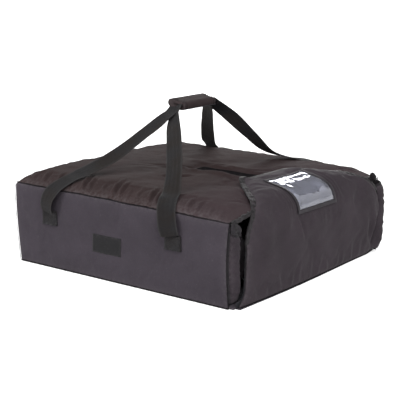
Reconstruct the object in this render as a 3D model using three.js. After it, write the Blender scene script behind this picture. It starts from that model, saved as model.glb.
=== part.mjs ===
// Padded pizza delivery bag with a front flap that folds over the mouth and grips the top,
// two flat webbing straps that meet in a padded hand wrap, and a clear card pocket on the flap.
// Millimetres, +Z up. The mouth and its flap face -Y, and the side panels face -X and +X.
import * as THREE from 'three';

// Body
const bagWidth = 510;
const bagDepth = 530;
const backHeight = 162;
const mouthHeight = 156;
const crownRise = 24;
const crownSharpness = 12;
const shoulderShare = 0.93;

// Layers of every padded wall
const outerThick = 1.2;
const paddingThick = 8;
const liningThick = 0.8;
const seam = 0.3;

// Mouth
const mouthInset = 5;
const mouthNose = 30;
const noseSteps = 4;
const bindingThick = 1;

// Flap
const flapBend = 40;
const flapStandOff = 0.5;
const flapHalfWidth = 205;
const flapFlareHeight = 22;
const tongueHalfWidth = 80;
const tongueRun = 73.5;
const tongueEdgeEase = 0.9;

// Hook and loop tape, shared by the top strip and the hand wrap
const tapeWidth = 38;
const tapeThick = 1.5;
const topTapeRear = 5;
const tongueTapeInset = 12;

// Card pocket
const windowHalfWidth = 59;
const windowThick = 0.5;
const windowTuck = 4;
const pocketTapeWidth = 10;
const pocketTapeThick = 1;
const pocketRearInset = 46;

// Wings that close the sides of the mouth behind the flap
const wingWidth = 75;
const wingPadding = 8;
const wingFold = THREE.MathUtils.degToRad(14);
const wingClearance = 1.6;

// Straps
const webbingWidth = 38;
const webbingThick = 1.6;
const tabThick = 3;
const tabLow = 87;
const tabHigh = 115;
const rearTabShare = 0.334;
const frontTabShare = -0.253;

// Hand wrap
const gripLength = 105;
const gripHeight = 315;
const gripDepth = 22;
const gripWidth = 47;
const gripThick = 12;
const gripSlack = 0.8;
const closureThick = 1.2;
const closureLap = 20;
const gripTapeThick = 1;
const gripTapeLap = 14;

// Patch on the left side panel
const patchLength = 72;
const patchHeight = 35;
const patchLow = 52;
const patchCentre = 27;
const patchThick = 0.8;

// Walls, worked out from the layers
const paddingDepth = outerThick + seam;
const liningDepth = paddingDepth + paddingThick + seam;
const wallThick = liningDepth + liningThick;
const sideX = bagWidth / 2;
const backY = bagDepth / 2;
const mouthY = -bagDepth / 2 + mouthInset;
const innerX = sideX - paddingDepth - paddingThick - seam;
const innerBackY = backY - paddingDepth - paddingThick - seam;
const bindingReach = mouthNose / noseSteps;
const straightLimitShare = 0.05;

// Flap profile, measured along its inner face from the table up, round the bend and back
const flapInnerY = -bagDepth / 2 - flapStandOff;
const tongueRearY = flapInnerY + flapBend + tongueRun;
const tapeStack = 2 * tapeThick + 3 * seam;
const tongueRest = Math.max(topHeight(0, tongueRearY), topHeight(0, mouthY + mouthNose));
const bendHeight = tongueRest + tapeStack - flapBend;
const bendY = flapInnerY + flapBend;
const foldAlong = bendHeight + flapBend * Math.PI / 4;
const bendEndAlong = bendHeight + flapBend * Math.PI / 2;
const tongueEndAlong = bendEndAlong + tongueRun;

const materials = makeMaterials();

function makeMaterials() {
  const cloth = (color, roughness) => new THREE.MeshStandardMaterial({ color, roughness, metalness: 0 });
  return {
    nylon: cloth(0x4a464c, 0.72),
    nylonTop: cloth(0x483e3e, 0.74),
    padding: cloth(0xc9c7c2, 0.95),
    lining: cloth(0x26262a, 0.55),
    binding: cloth(0x5a5c5e, 0.8),
    webbing: cloth(0x3c3e42, 0.82),
    loopTape: cloth(0x2a292d, 0.98),
    hookTape: cloth(0x222226, 0.85),
    patch: cloth(0x3a383c, 0.6),
    vinyl: new THREE.MeshStandardMaterial({
      color: 0xdcdde6, roughness: 0.08, metalness: 0, transparent: true, opacity: 0.35,
    }),
  };
}

// Height of the top's outer face: straight edges, a puffed middle and a nose that dips to the mouth
function topHeight(x, y) {
  const edge = mouthHeight + (backHeight - mouthHeight) * (y + backY) / bagDepth;
  const acrossShare = 1 - Math.abs(x / sideX) ** crownSharpness;
  const backShare = y > 0 ? 1 - (y / backY) ** crownSharpness : 1;
  const noseShare = y < mouthY + mouthNose ? Math.sin((y - mouthY) / mouthNose * Math.PI / 2) : 1;
  return edge + crownRise * acrossShare * backShare * noseShare;
}

// Point on the flap at a place across it, a length along its inner face and a distance outwards
function flapPoint(x, along, out) {
  if (along <= bendHeight) return new THREE.Vector3(x, flapInnerY - out, along);
  if (along >= bendEndAlong) {
    return new THREE.Vector3(x, bendY + along - bendEndAlong, bendHeight + flapBend + out);
  }
  const turn = (along - bendHeight) / flapBend;
  const radius = flapBend + out;
  return new THREE.Vector3(x, bendY - radius * Math.cos(turn), bendHeight + radius * Math.sin(turn));
}

// Half width of the flap: full width where it is sewn on, then straight, then the tongue's taper
function flapHalf(along) {
  if (along < flapFlareHeight) {
    return THREE.MathUtils.mapLinear(along, 0, flapFlareHeight, sideX, flapHalfWidth);
  }
  if (along < foldAlong) return flapHalfWidth;
  return THREE.MathUtils.mapLinear(along, foldAlong, tongueEndAlong, flapHalfWidth, tongueHalfWidth);
}

function spaced(from, to, steps) {
  return Array.from({ length: steps + 1 }, (_, i) => from + (to - from) * i / steps);
}

// Stations that lie between two limits, with the limits themselves
function clipped(stations, low, high) {
  return [low, ...stations.filter((value) => value > low + seam && value < high - seam), high];
}

// Closed geometry from points and triangles, turned to face out
function closedGeometry(points, triangles) {
  const corner = (i) => points[i];
  const volume = triangles.reduce((sum, [a, b, c]) => (
    sum + corner(a).dot(new THREE.Vector3().crossVectors(corner(b), corner(c)))
  ), 0);
  const faces = volume > 0 ? triangles : triangles.map(([a, b, c]) => [a, c, b]);
  const geometry = new THREE.BufferGeometry();
  geometry.setAttribute('position', new THREE.Float32BufferAttribute(points.flatMap((p) => p.toArray()), 3));
  geometry.setIndex(faces.flat());
  geometry.computeVertexNormals();
  return geometry;
}

// Sheet between two faces that share their stations: near and far give a point for each pair
function sheet(columns, rows, near, far) {
  const width = columns.length;
  const count = width * rows.length;
  const face = (place) => rows.flatMap((row) => columns.map((column) => place(column, row)));
  const triangles = [];
  const quad = (a, b, c, d) => triangles.push([a, b, c], [a, c, d]);
  for (let j = 0; j < rows.length - 1; j += 1) {
    for (let i = 0; i < width - 1; i += 1) {
      const a = j * width + i;
      quad(a, a + 1, a + width + 1, a + width);
      quad(count + a, count + a + width, count + a + width + 1, count + a + 1);
    }
    const left = j * width;
    const right = left + width - 1;
    quad(left, left + width, count + left + width, count + left);
    quad(right, count + right, count + right + width, right + width);
  }
  for (let i = 0; i < width - 1; i += 1) {
    const last = (rows.length - 1) * width + i;
    quad(i, count + i, count + i + 1, i + 1);
    quad(last, last + 1, count + last + 1, count + last);
  }
  return closedGeometry([...face(near), ...face(far)], triangles);
}

// Solid through rings of points, all cut from one closed section. The diagonals of its faces run
// from the edge inwards on both sides, as those of the sheets do, so that twisted faces stay parallel.
function loft(rings, section) {
  const size = section.length;
  const triangles = [];
  for (let j = 0; j < rings.length - 1; j += 1) {
    for (let i = 0; i < size; i += 1) {
      const a = j * size + i;
      const b = j * size + (i + 1) % size;
      const rising = section[(i + 1) % size].x > section[i].x;
      if (rising) triangles.push([a, b, a + size], [b, b + size, a + size]);
      else triangles.push([a, b, b + size], [a, b + size, a + size]);
    }
  }
  const last = (rings.length - 1) * size;
  const cap = THREE.ShapeUtils.triangulateShape(section, []);
  for (const [a, b, c] of cap) {
    triangles.push([c, b, a], [last + a, last + b, last + c]);
  }
  return closedGeometry(rings.flat(), triangles);
}

// Outward directions at each point of an edge: mitred at the corners, and elsewhere square to the
// edge or, where a cut line is given, along that line
function mitres(path, outward, cutLine) {
  const normals = path.slice(1).map((point, i) => {
    const along = point.clone().sub(path[i]).normalize();
    const normal = new THREE.Vector2(along.y, -along.x);
    return normal.dot(outward(path[i], point)) < 0 ? normal.negate() : normal;
  });
  return path.map((_, i) => {
    const before = normals[Math.max(i - 1, 0)];
    const after = normals[Math.min(i, normals.length - 1)];
    const middle = before.clone().add(after).normalize();
    const straight = before.distanceTo(after) < straightLimitShare;
    const direction = straight && cutLine ? cutLine.clone() : middle;
    return direction.divideScalar(direction.dot(before));
  });
}

// Folded tape round the edge of a panel: a U that wraps both faces and the edge between them
function edgeBinding(path, outward, panelThick, place, cutLine) {
  const inner = seam;
  const outer = seam + bindingThick;
  const section = [
    [-bindingReach, -outer], [outer, -outer], [outer, panelThick + outer], [-bindingReach, panelThick + outer],
    [-bindingReach, panelThick + inner], [inner, panelThick + inner], [inner, -inner], [-bindingReach, -inner],
  ].map(([across, through]) => new THREE.Vector2(across, through));
  const directions = mitres(path, outward, cutLine);
  const rings = path.map((point, i) => section.map(({ x: across, y: through }) => {
    const at = point.clone().addScaledVector(directions[i], across);
    return place(at.x, at.y, through);
  }));
  return loft(rings, section);
}

function named(name, geometry, material) {
  const mesh = new THREE.Mesh(geometry, material);
  mesh.name = name;
  return mesh;
}

function slab(name, material, [x0, x1], [y0, y1], [z0, z1]) {
  const mesh = named(name, new THREE.BoxGeometry(x1 - x0, y1 - y0, z1 - z0), material);
  mesh.position.set((x0 + x1) / 2, (y0 + y1) / 2, (z0 + z1) / 2);
  return mesh;
}

// Outline drawn in Y and Z and extruded along X
function alongX(name, material, shape, length) {
  const geometry = new THREE.ExtrudeGeometry(shape, { depth: length, bevelEnabled: false, curveSegments: 5 });
  const mesh = named(name, geometry, material);
  const axes = [new THREE.Vector3(0, 1, 0), new THREE.Vector3(0, 0, 1), new THREE.Vector3(1, 0, 0)];
  mesh.quaternion.setFromRotationMatrix(new THREE.Matrix4().makeBasis(...axes));
  return mesh;
}

function sideWall(name, material, corners, from, to) {
  const shape = new THREE.Shape(corners.map(([y, z]) => new THREE.Vector2(y, z)));
  const mesh = alongX(name, material, shape, Math.abs(to - from));
  mesh.position.x = Math.min(from, to);
  return mesh;
}

// Upper limit of a wall that stands under the top panel, a depth below the top's outer face
function underTop(y, depth) {
  return topHeight(sideX, y) - depth;
}

// Stations across the top, shared by everything that follows its front edge
function topColumns() {
  const across = spaced(-sideX, sideX, 10).slice(1, -1);
  const shoulder = sideX * shoulderShare;
  return [-sideX, -innerX, -shoulder, ...across, shoulder, innerX, sideX];
}

function makeTop() {
  const nose = spaced(mouthY, mouthY + mouthNose, noseSteps);
  const middle = spaced(mouthY + mouthNose, 0, 2).slice(1);
  const rear = spaced(0, innerBackY, 5).slice(1, -1);
  const columns = topColumns();
  const rows = [...nose, ...middle, ...rear, backY * shoulderShare, innerBackY, backY];
  const face = (depth) => (x, y) => new THREE.Vector3(x, y, topHeight(x, y) - depth);
  const layer = (name, material, depth, thick, inset) => {
    const end = inset ? -1 : undefined;
    const used = [columns.slice(inset, end), rows.slice(0, end)];
    return named(name, sheet(...used, face(depth), face(depth + thick)), material);
  };
  return [
    layer('outer_top', materials.nylonTop, 0, outerThick, 0),
    layer('padding_top', materials.padding, paddingDepth, paddingThick, 1),
    layer('lining_top', materials.lining, liningDepth, liningThick, 1),
  ];
}

function makeBottom() {
  const floorY = flapPoint(0, 0, wallThick).y;
  const paddingSpan = [[-innerX, innerX], [-bagDepth / 2, innerBackY]];
  return [
    slab('outer_bottom', materials.nylon, [-sideX, sideX], [floorY, backY], [0, outerThick]),
    slab('padding_bottom', materials.padding, ...paddingSpan, [paddingDepth, paddingDepth + paddingThick]),
    slab('lining_bottom', materials.lining, ...paddingSpan, [liningDepth, wallThick]),
  ];
}

function makeBack() {
  const paddingBackY = backY - paddingDepth;
  return [
    slab('outer_back', materials.nylon, [-sideX, sideX], [backY - outerThick, backY],
      [paddingDepth, underTop(backY - outerThick, paddingDepth)]),
    slab('padding_back', materials.padding, [-innerX, innerX], [innerBackY + seam, paddingBackY],
      [paddingDepth, underTop(innerBackY, paddingDepth)]),
    slab('lining_back', materials.lining, [-innerX, innerX], [innerBackY - liningThick, innerBackY],
      [wallThick + seam, underTop(innerBackY - liningThick, wallThick + seam)]),
  ];
}

function makeSide(name, side) {
  const wall = (low, high, rear) => [
    [mouthY, low], [rear, low], [rear, underTop(rear, high)], [mouthY, underTop(mouthY, high)],
  ];
  const padded = wall(paddingDepth, paddingDepth, backY - paddingDepth);
  const lined = wall(wallThick + seam, wallThick + seam, innerBackY - liningThick - seam);
  return [
    sideWall(`outer_${name}`, materials.nylon, padded, side * sideX, side * (sideX - outerThick)),
    sideWall(`padding_${name}`, materials.padding, padded, side * (innerX + seam), side * (sideX - paddingDepth)),
    sideWall(`lining_${name}`, materials.lining, lined, side * innerX, side * (innerX - liningThick)),
  ];
}

// Binding along the mouth: over the top panel's front edge and down both side walls
function makeMouthBindings() {
  const end = innerX - liningThick - seam;
  const topPath = [-end, ...topColumns().slice(2, -2), end].map((x) => new THREE.Vector2(x, mouthY));
  const towardsFront = () => new THREE.Vector2(0, -1);
  const overTop = (x, y, through) => new THREE.Vector3(x, y, topHeight(x, y) - wallThick + through);
  const bindings = [
    named('mouth_binding_top', edgeBinding(topPath, towardsFront, wallThick, overTop), materials.binding),
  ];
  for (const [name, side] of [['left', -1], ['right', 1]]) {
    const low = wallThick + seam;
    const high = underTop(mouthY, wallThick + bindingThick + 4 * seam);
    const path = [new THREE.Vector2(low, mouthY), new THREE.Vector2(high, mouthY)];
    const place = (z, y, through) => new THREE.Vector3(side * (sideX - through), y, z);
    const geometry = edgeBinding(path, towardsFront, wallThick, place);
    bindings.push(named(`mouth_binding_${name}`, geometry, materials.binding));
  }
  return bindings;
}

// Loop tape down the middle of the top, under the tongue and on towards the handle
function makeTopTape() {
  const front = bendY + seam;
  const face = (lift) => (x, y) => new THREE.Vector3(x, y, topHeight(0, y) + lift);
  const rows = clipped([0], front, topTapeRear);
  const columns = [-tapeWidth / 2, tapeWidth / 2];
  return named('loop_tape_top', sheet(columns, rows, face(seam), face(seam + tapeThick)), materials.loopTape);
}

// One layer of the flap between two stations along it
function flapLayer(name, material, alongs, out, thick, half) {
  const shares = [-1, -0.5, 0, 0.5, 1];
  const face = (distance) => (share, along) => flapPoint(share * half(along), along, distance);
  return named(name, sheet(shares, alongs, face(out), face(out + thick)), material);
}

// A flat strip on the flap, between two places across it
function flapStrip(name, material, [x0, x1], alongs, out, thick) {
  const face = (distance) => (x, along) => flapPoint(x, along, distance);
  return named(name, sheet([x0, x1], alongs, face(out), face(out + thick)), material);
}

function flapStations() {
  const half = seam / 2;
  const lowerBend = spaced(bendHeight, foldAlong - half, 3);
  const upperBend = spaced(foldAlong + half, bendEndAlong, 3);
  return {
    front: [paddingDepth, flapFlareHeight, ...lowerBend],
    tongue: [...upperBend, tongueEndAlong],
    lowerBend,
    upperBend,
  };
}

function makeFlapFront() {
  const { front } = flapStations();
  const layers = [
    flapLayer('flap_outer', materials.nylon, front, wallThick - outerThick, outerThick, flapHalf),
    flapLayer('flap_padding', materials.padding, front, liningThick + seam, paddingThick, flapHalf),
    flapLayer('flap_lining', materials.lining, front, 0, liningThick, flapHalf),
  ];
  const bound = front.slice(1);
  for (const [name, side] of [['left', -1], ['right', 1]]) {
    const path = bound.map((along) => new THREE.Vector2(side * flapHalfWidth, along));
    const outward = () => new THREE.Vector2(side, 0);
    const geometry = edgeBinding(path, outward, wallThick, flapPoint);
    layers.push(named(`flap_binding_${name}`, geometry, materials.binding));
  }
  return layers;
}

function makeTongue() {
  const { tongue } = flapStations();
  const leftEdge = tongue.map((along) => new THREE.Vector2(-flapHalf(along), along));
  const rightEdge = tongue.map((along) => new THREE.Vector2(flapHalf(along), along)).reverse();
  const path = [...leftEdge, ...rightEdge];
  const centre = new THREE.Vector2(0, foldAlong);
  const outward = (from, to) => from.clone().add(to).divideScalar(2).sub(centre);
  const foldLine = new THREE.Vector2(1, 0);
  const tape = [bendEndAlong + seam, tongueEndAlong - tongueTapeInset];
  const half = (along) => flapHalf(along) - tongueEdgeEase;
  return [
    flapLayer('tongue_outer', materials.nylon, tongue, wallThick - outerThick, outerThick, half),
    flapLayer('tongue_padding', materials.padding, tongue, liningThick + seam, paddingThick, half),
    flapLayer('tongue_lining', materials.lining, tongue, 0, liningThick, half),
    named('tongue_binding', edgeBinding(path, outward, wallThick, flapPoint, foldLine), materials.binding),
    flapStrip('hook_tape_tongue', materials.hookTape, [-tapeWidth / 2, tapeWidth / 2], tape,
      -seam - tapeThick, tapeThick),
  ];
}

// Card pocket: a clear window under taped edges, cut across at the fold so that it bends with the flap
function makePocket() {
  const { lowerBend, upperBend } = flapStations();
  const rear = tongueEndAlong - pocketRearInset;
  const windowOut = wallThick + seam;
  const tapeOut = windowOut + windowThick + seam;
  const reach = windowHalfWidth + windowTuck;
  const edge = windowHalfWidth + pocketTapeWidth;
  const upper = [...upperBend, rear];
  const lowerWindow = [bendHeight - windowTuck, ...lowerBend];
  const hem = rear - pocketTapeWidth;
  const strip = (name, xs, alongs) => flapStrip(name, materials.binding, xs, alongs, tapeOut, pocketTapeThick);
  const left = [-edge, -windowHalfWidth];
  const right = [windowHalfWidth, edge];
  const lowerSides = [bendHeight + seam, ...lowerBend.slice(1)];
  const upperSides = [...upperBend, hem - seam];
  return {
    front: [
      flapStrip('window_lower', materials.vinyl, [-reach, reach], lowerWindow, windowOut, windowThick),
      strip('pocket_tape_bottom', [-edge, edge], [bendHeight - pocketTapeWidth, bendHeight]),
      strip('pocket_tape_left_lower', left, lowerSides),
      strip('pocket_tape_right_lower', right, lowerSides),
    ],
    tongue: [
      flapStrip('window_upper', materials.vinyl, [-reach, reach], upper, windowOut, windowThick),
      strip('pocket_tape_rear', [-edge, edge], [hem, rear]),
      strip('pocket_tape_left_upper', left, upperSides),
      strip('pocket_tape_right_upper', right, upperSides),
    ],
  };
}

// Padded wing with a cut-away lower corner and a bound upper edge, drawn from its sewn edge
function makeWing(name, side) {
  const low = wallThick + wingClearance;
  const high = underTop(mouthY, wallThick + 2 * (bindingThick + seam) + wingClearance);
  const tall = high - low;
  const edgeShares = [[0, 1], [0.45, 0.96], [0.8, 0.86], [0.96, 0.68], [1, 0.45], [0.92, 0.2]];
  const edge = edgeShares.map(([x, z]) => new THREE.Vector2(x * wingWidth, low + z * tall));
  const shape = new THREE.Shape([new THREE.Vector2(0, low), new THREE.Vector2(0, high), ...edge.slice(1)].reverse());
  const pad = new THREE.ExtrudeGeometry(shape, { depth: wingPadding, bevelEnabled: false });
  const padPoints = new THREE.Matrix4().makeBasis(
    new THREE.Vector3(1, 0, 0), new THREE.Vector3(0, 0, 1), new THREE.Vector3(0, -1, 0),
  );
  pad.applyMatrix4(padPoints);
  const middle = new THREE.Vector2(0, (low + high) / 2);
  const outward = (from, to) => from.clone().add(to).divideScalar(2).sub(middle);
  const place = (x, z, through) => new THREE.Vector3(x, -through, z);
  const boundEdge = [edge[0].clone().lerp(edge[1], bindingReach / wingWidth * 2), ...edge.slice(1)];
  const binding = edgeBinding(boundEdge, outward, wingPadding, place);
  const group = new THREE.Group();
  for (const [suffix, geometry, material] of [['', pad, materials.nylon], ['_binding', binding, materials.binding]]) {
    group.add(named(`wing_${name}${suffix}`, side < 0 ? geometry : mirrored(geometry), material));
  }
  group.position.set(side * (innerX - liningThick - bindingThick - 2 * seam), mouthY + wingPadding, 0);
  group.rotation.z = -side * wingFold;
  return group;
}

// The same solid on the other side of the bag
function mirrored(geometry) {
  const source = geometry.index ? geometry.toNonIndexed() : geometry;
  const place = source.getAttribute('position');
  const points = Array.from({ length: place.count }, (_, i) => (
    new THREE.Vector3(-place.getX(i), place.getY(i), place.getZ(i))
  ));
  const triangles = spaced(0, place.count / 3 - 1, place.count / 3 - 1).map((i) => [3 * i, 3 * i + 2, 3 * i + 1]);
  return closedGeometry(points, triangles);
}

// Route of each strap leg, in shares across, inward and up, from its tab to the mouth of the wrap
const legRouteShares = {
  rear_left: [
    [0, 0, 0], [0, 0, 0.12], [0, 0.02, 0.245], [0.05, 0.07, 0.31], [0.2, 0.23, 0.355],
    [0.51, 0.45, 0.46], [0.79, 0.69, 0.67], [0.89, 0.92, 0.87], [0.95, 1, 0.97],
  ],
  front_left: [
    [0, 0, 0], [0, 0.03, 0.12], [0, 0.08, 0.245], [0.05, 0.11, 0.31], [0.2, 0.22, 0.355],
    [0.42, 0.42, 0.5], [0.68, 0.69, 0.72], [0.86, 0.92, 0.9], [0.95, 1, 0.98],
  ],
  rear_right: [
    [0, 0, 0], [0, 0, 0.12], [0, 0.02, 0.245], [0.05, 0.06, 0.31], [0.22, 0.2, 0.38],
    [0.44, 0.4, 0.54], [0.7, 0.67, 0.75], [0.87, 0.9, 0.91], [0.95, 1, 0.98],
  ],
  front_right: [
    [0, 0, 0], [0, 0.03, 0.12], [0, 0.08, 0.245], [0.05, 0.13, 0.31], [0.24, 0.3, 0.355],
    [0.46, 0.53, 0.43], [0.64, 0.67, 0.6], [0.82, 0.86, 0.86], [0.95, 1, 0.98],
  ],
};

function legCurve(name, side, tabDepth, stack) {
  const liftShares = [0, 0, 0, 0, 0.3, 0.9, 1.4, 1.7, 1.6];
  const start = new THREE.Vector3(side * (sideX + seam + tabThick / 2), tabDepth, tabHigh + seam);
  const end = new THREE.Vector3(side * (gripLength / 2 + seam), gripDepth, gripHeight - webbingPitch() / 2);
  const slope = Math.atan2(end.z - start.z, Math.abs(start.x - end.x));
  const points = legRouteShares[name].map(([across, inward, up], i) => {
    const lift = stack * webbingPitch() * liftShares[i];
    const x = THREE.MathUtils.lerp(start.x, end.x, across) + side * lift * Math.sin(slope);
    const y = THREE.MathUtils.lerp(start.y, end.y, inward);
    const z = THREE.MathUtils.lerp(start.z, end.z, up) + lift * Math.cos(slope);
    return new THREE.Vector3(x, y, z);
  });
  end.z += stack * webbingPitch();
  return new THREE.CatmullRomCurve3([...points, end]);
}

function webbingPitch() {
  return webbingThick + 3 * seam;
}

function makeLeg(name, side, tabDepth, stack) {
  const curve = legCurve(name, side, tabDepth, stack);
  const steps = 18;
  const across = new THREE.Vector3(0, 1, 0);
  const half = [webbingWidth / 2, webbingThick / 2];
  const section = [[-1, -1], [1, -1], [1, 1], [-1, 1]].map(([a, b]) => new THREE.Vector2(a * half[0], b * half[1]));
  const rings = spaced(0, 1, steps).map((share) => {
    const ends = share === 0 || share === 1;
    const tangent = curve.getTangent(share);
    if (ends) tangent.set(share ? -side : 0, 0, share ? 0 : 1);
    const width = across.clone().addScaledVector(tangent, -tangent.dot(across)).normalize();
    const face = new THREE.Vector3().crossVectors(tangent, width);
    const centre = curve.getPoint(share);
    return section.map((point) => centre.clone().addScaledVector(width, point.x).addScaledVector(face, point.y));
  });
  return named(`strap_leg_${name}`, loft(rings, section), materials.webbing);
}

function makeStraps() {
  const pieces = [];
  const ends = [['rear', rearTabShare * bagDepth, 0], ['front', frontTabShare * bagDepth, 1]];
  for (const [row, depth, stack] of ends) {
    for (const [name, side] of [['left', -1], ['right', 1]]) {
      const faces = [side * (sideX + seam), side * (sideX + seam + tabThick)].sort((a, b) => a - b);
      const span = [depth - webbingWidth / 2, depth + webbingWidth / 2];
      pieces.push(slab(`strap_tab_${row}_${name}`, materials.webbing, faces, span, [tabLow, tabHigh]));
      pieces.push(makeLeg(`${row}_${name}`, side, depth, stack));
    }
  }
  return pieces;
}

// The two straps lie one on the other inside the hand wrap
function makeGripStraps() {
  return [['rear', -1], ['front', 1]].map(([row, level]) => {
    const middle = gripHeight + level * webbingPitch() / 2;
    const half = webbingThick / 2;
    const along = [-gripLength / 2, gripLength / 2];
    const wide = [gripDepth - webbingWidth / 2, gripDepth + webbingWidth / 2];
    return slab(`strap_middle_${row}`, materials.webbing, along, wide, [middle - half, middle + half]);
  });
}

// Part of the hand wrap, drawn round the middle of the wrap
function gripPiece(name, material, shape, length) {
  const mesh = alongX(name, material, shape, length);
  mesh.position.set(-length / 2, gripDepth, gripHeight);
  return mesh;
}

// Padded wrap: a C round the straps, open towards the mouth side, where the closure covers it
function makeWrap() {
  const outer = gripThick / 2;
  const inner = webbingPitch() + gripSlack - seam;
  const rearCentre = gripWidth / 2 - outer;
  const front = -gripWidth / 2;
  const shape = new THREE.Shape();
  shape.moveTo(front, outer);
  shape.lineTo(front, inner);
  shape.lineTo(rearCentre, inner);
  shape.absarc(rearCentre, 0, inner, Math.PI / 2, -Math.PI / 2, true);
  shape.lineTo(front, -inner);
  shape.lineTo(front, -outer);
  shape.lineTo(rearCentre, -outer);
  shape.absarc(rearCentre, 0, outer, -Math.PI / 2, Math.PI / 2, false);
  shape.closePath();
  return gripPiece('hand_wrap', materials.nylon, shape, gripLength);
}

// Closure: down the open side of the wrap and under it, held by hook and loop
function makeClosure() {
  const front = -gripWidth / 2 - seam;
  const top = gripThick / 2;
  const bottom = -gripThick / 2 - 2 * (seam + gripTapeThick) - seam;
  const shape = new THREE.Shape();
  shape.moveTo(front, top);
  shape.lineTo(front - closureThick, top);
  shape.lineTo(front - closureThick, bottom);
  shape.lineTo(front, bottom - closureThick);
  shape.lineTo(front + closureLap, bottom - closureThick);
  shape.lineTo(front + closureLap, bottom);
  shape.lineTo(front, bottom);
  shape.closePath();
  return gripPiece('wrap_closure', materials.nylon, shape, gripLength - 2 * seam);
}

function makeGripTape(name, material, layer) {
  const high = gripHeight - gripThick / 2 - seam - layer * (gripTapeThick + seam);
  const front = gripDepth - gripWidth / 2 + seam;
  const along = gripLength / 2 - bindingReach;
  return slab(name, material, [-along, along], [front, front + gripTapeLap], [high - gripTapeThick, high]);
}

function makePatch() {
  const faces = [-sideX - seam - patchThick, -sideX - seam];
  const span = [patchCentre - patchLength / 2, patchCentre + patchLength / 2];
  return slab('side_patch', materials.patch, faces, span, [patchLow, patchLow + patchHeight]);
}

function gathered(meshes) {
  const group = new THREE.Group();
  group.add(...meshes.flat());
  return group;
}

const pocket = makePocket();
const bag = gathered([
  makeTop(), makeBottom(), makeBack(), makeSide('left', -1), makeSide('right', 1),
  makeMouthBindings(), makeTopTape(), makePatch(), makeStraps(),
]);
const flap = gathered([makeFlapFront(), pocket.front]);
const tongue = gathered([makeTongue(), pocket.tongue]);
const grip = gathered([makeGripStraps(), makeWrap(), makeGripTape('wrap_loop_tape', materials.loopTape, 0)]);
const closure = gathered([makeClosure(), makeGripTape('wrap_hook_tape', materials.hookTape, 1)]);
const object = new THREE.Group();
flap.add(tongue);
grip.add(closure);
object.add(bag, flap, grip, makeWing('left', -1), makeWing('right', 1));

export default object;
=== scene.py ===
import math

import bpy
import numpy as np
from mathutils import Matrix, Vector


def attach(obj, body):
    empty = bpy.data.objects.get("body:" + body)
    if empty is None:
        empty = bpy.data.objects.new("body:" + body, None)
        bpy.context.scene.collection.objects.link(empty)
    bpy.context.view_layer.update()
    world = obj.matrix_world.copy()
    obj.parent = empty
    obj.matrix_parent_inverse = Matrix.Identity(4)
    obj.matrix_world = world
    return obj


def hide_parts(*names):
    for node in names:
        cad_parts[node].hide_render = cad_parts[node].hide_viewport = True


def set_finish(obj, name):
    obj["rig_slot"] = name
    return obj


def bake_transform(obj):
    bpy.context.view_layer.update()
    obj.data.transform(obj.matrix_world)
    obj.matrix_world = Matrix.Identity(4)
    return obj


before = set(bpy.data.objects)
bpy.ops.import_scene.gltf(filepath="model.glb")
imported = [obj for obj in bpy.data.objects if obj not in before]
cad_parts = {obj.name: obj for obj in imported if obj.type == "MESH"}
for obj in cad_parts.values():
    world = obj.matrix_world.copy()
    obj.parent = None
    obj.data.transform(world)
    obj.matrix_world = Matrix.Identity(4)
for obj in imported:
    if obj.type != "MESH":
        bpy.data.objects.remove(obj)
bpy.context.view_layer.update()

MM = 0.001

# Sizes in millimetres, as in the source
HALF_WIDTH = 255.0
MOUTH_Y = -260.0
LONG_NOSE = 82.0
WALL = 10.6
FLAP_INNER_Y = -265.5
BEND = 40.0
TONGUE_RUN = 73.5
BEND_Y = FLAP_INNER_Y + BEND
TONGUE_HALF = 80.0
FLAP_HALF = 205.0
TAPE_HALF = 19.0
WEBBING = 38.0
STRAP_THICK = 2.0
GRIP_Y = 22.0
GRIP_Z = 315.0
GRIP_HALF = 52.5

# How the cloth sits on those sizes
SEAM_INSET = 0.8
SEAM_SOFT = 9.0
SIDE_PUFF = 1.3
TOP_LIFT = 17.0
TOP_CROWN = 7.0
BACK_CROWN = 5.0
BACK_FOOT = 261.0
BACK_BOW = 13.5
TOP_BACK = 269.6

# Depths of the sewn strap ends, as in the source, and rounded for the dents beside them
TABS = {"rear": 177.02, "front": -134.09}
TAB_SPOTS = (177.0, -134.0)
PATCH_Y, PATCH_HALF, PATCH_LOW, PATCH_HIGH = 27, 36, 52, 87
FORWARD = np.array([0.0, -1.0, 0.0])


def stacked(*parts):
    """Arrays or numbers side by side along a last axis, such as the x, y and z of points."""
    return np.stack(np.broadcast_arrays(*parts), -1)


def creased(relief, x, y, rows):
    """relief with a crease added for each row of its start, end, width, height and so on."""
    for row in rows:
        relief = relief + crease(x, y, *row)
    return relief


def back_seam(z):
    """Where the back's corner seams stand: they bow out between their ends."""
    bow = BACK_BOW * np.sin(np.clip(z / 130.0, 0.0, 1.0) * math.pi / 2) ** 0.7
    return BACK_FOOT + bow + (TOP_BACK - BACK_FOOT - BACK_BOW) * smooth((z - 150) / 9)


def foot_shift(x):
    """How far the flap's foot lies behind its hinge line: the right corner is pushed back."""
    return -4.5 + 13.5 * smooth((x + 150) / 420)


def across_share(x):
    return 1 - np.abs(x / HALF_WIDTH) ** 3


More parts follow.
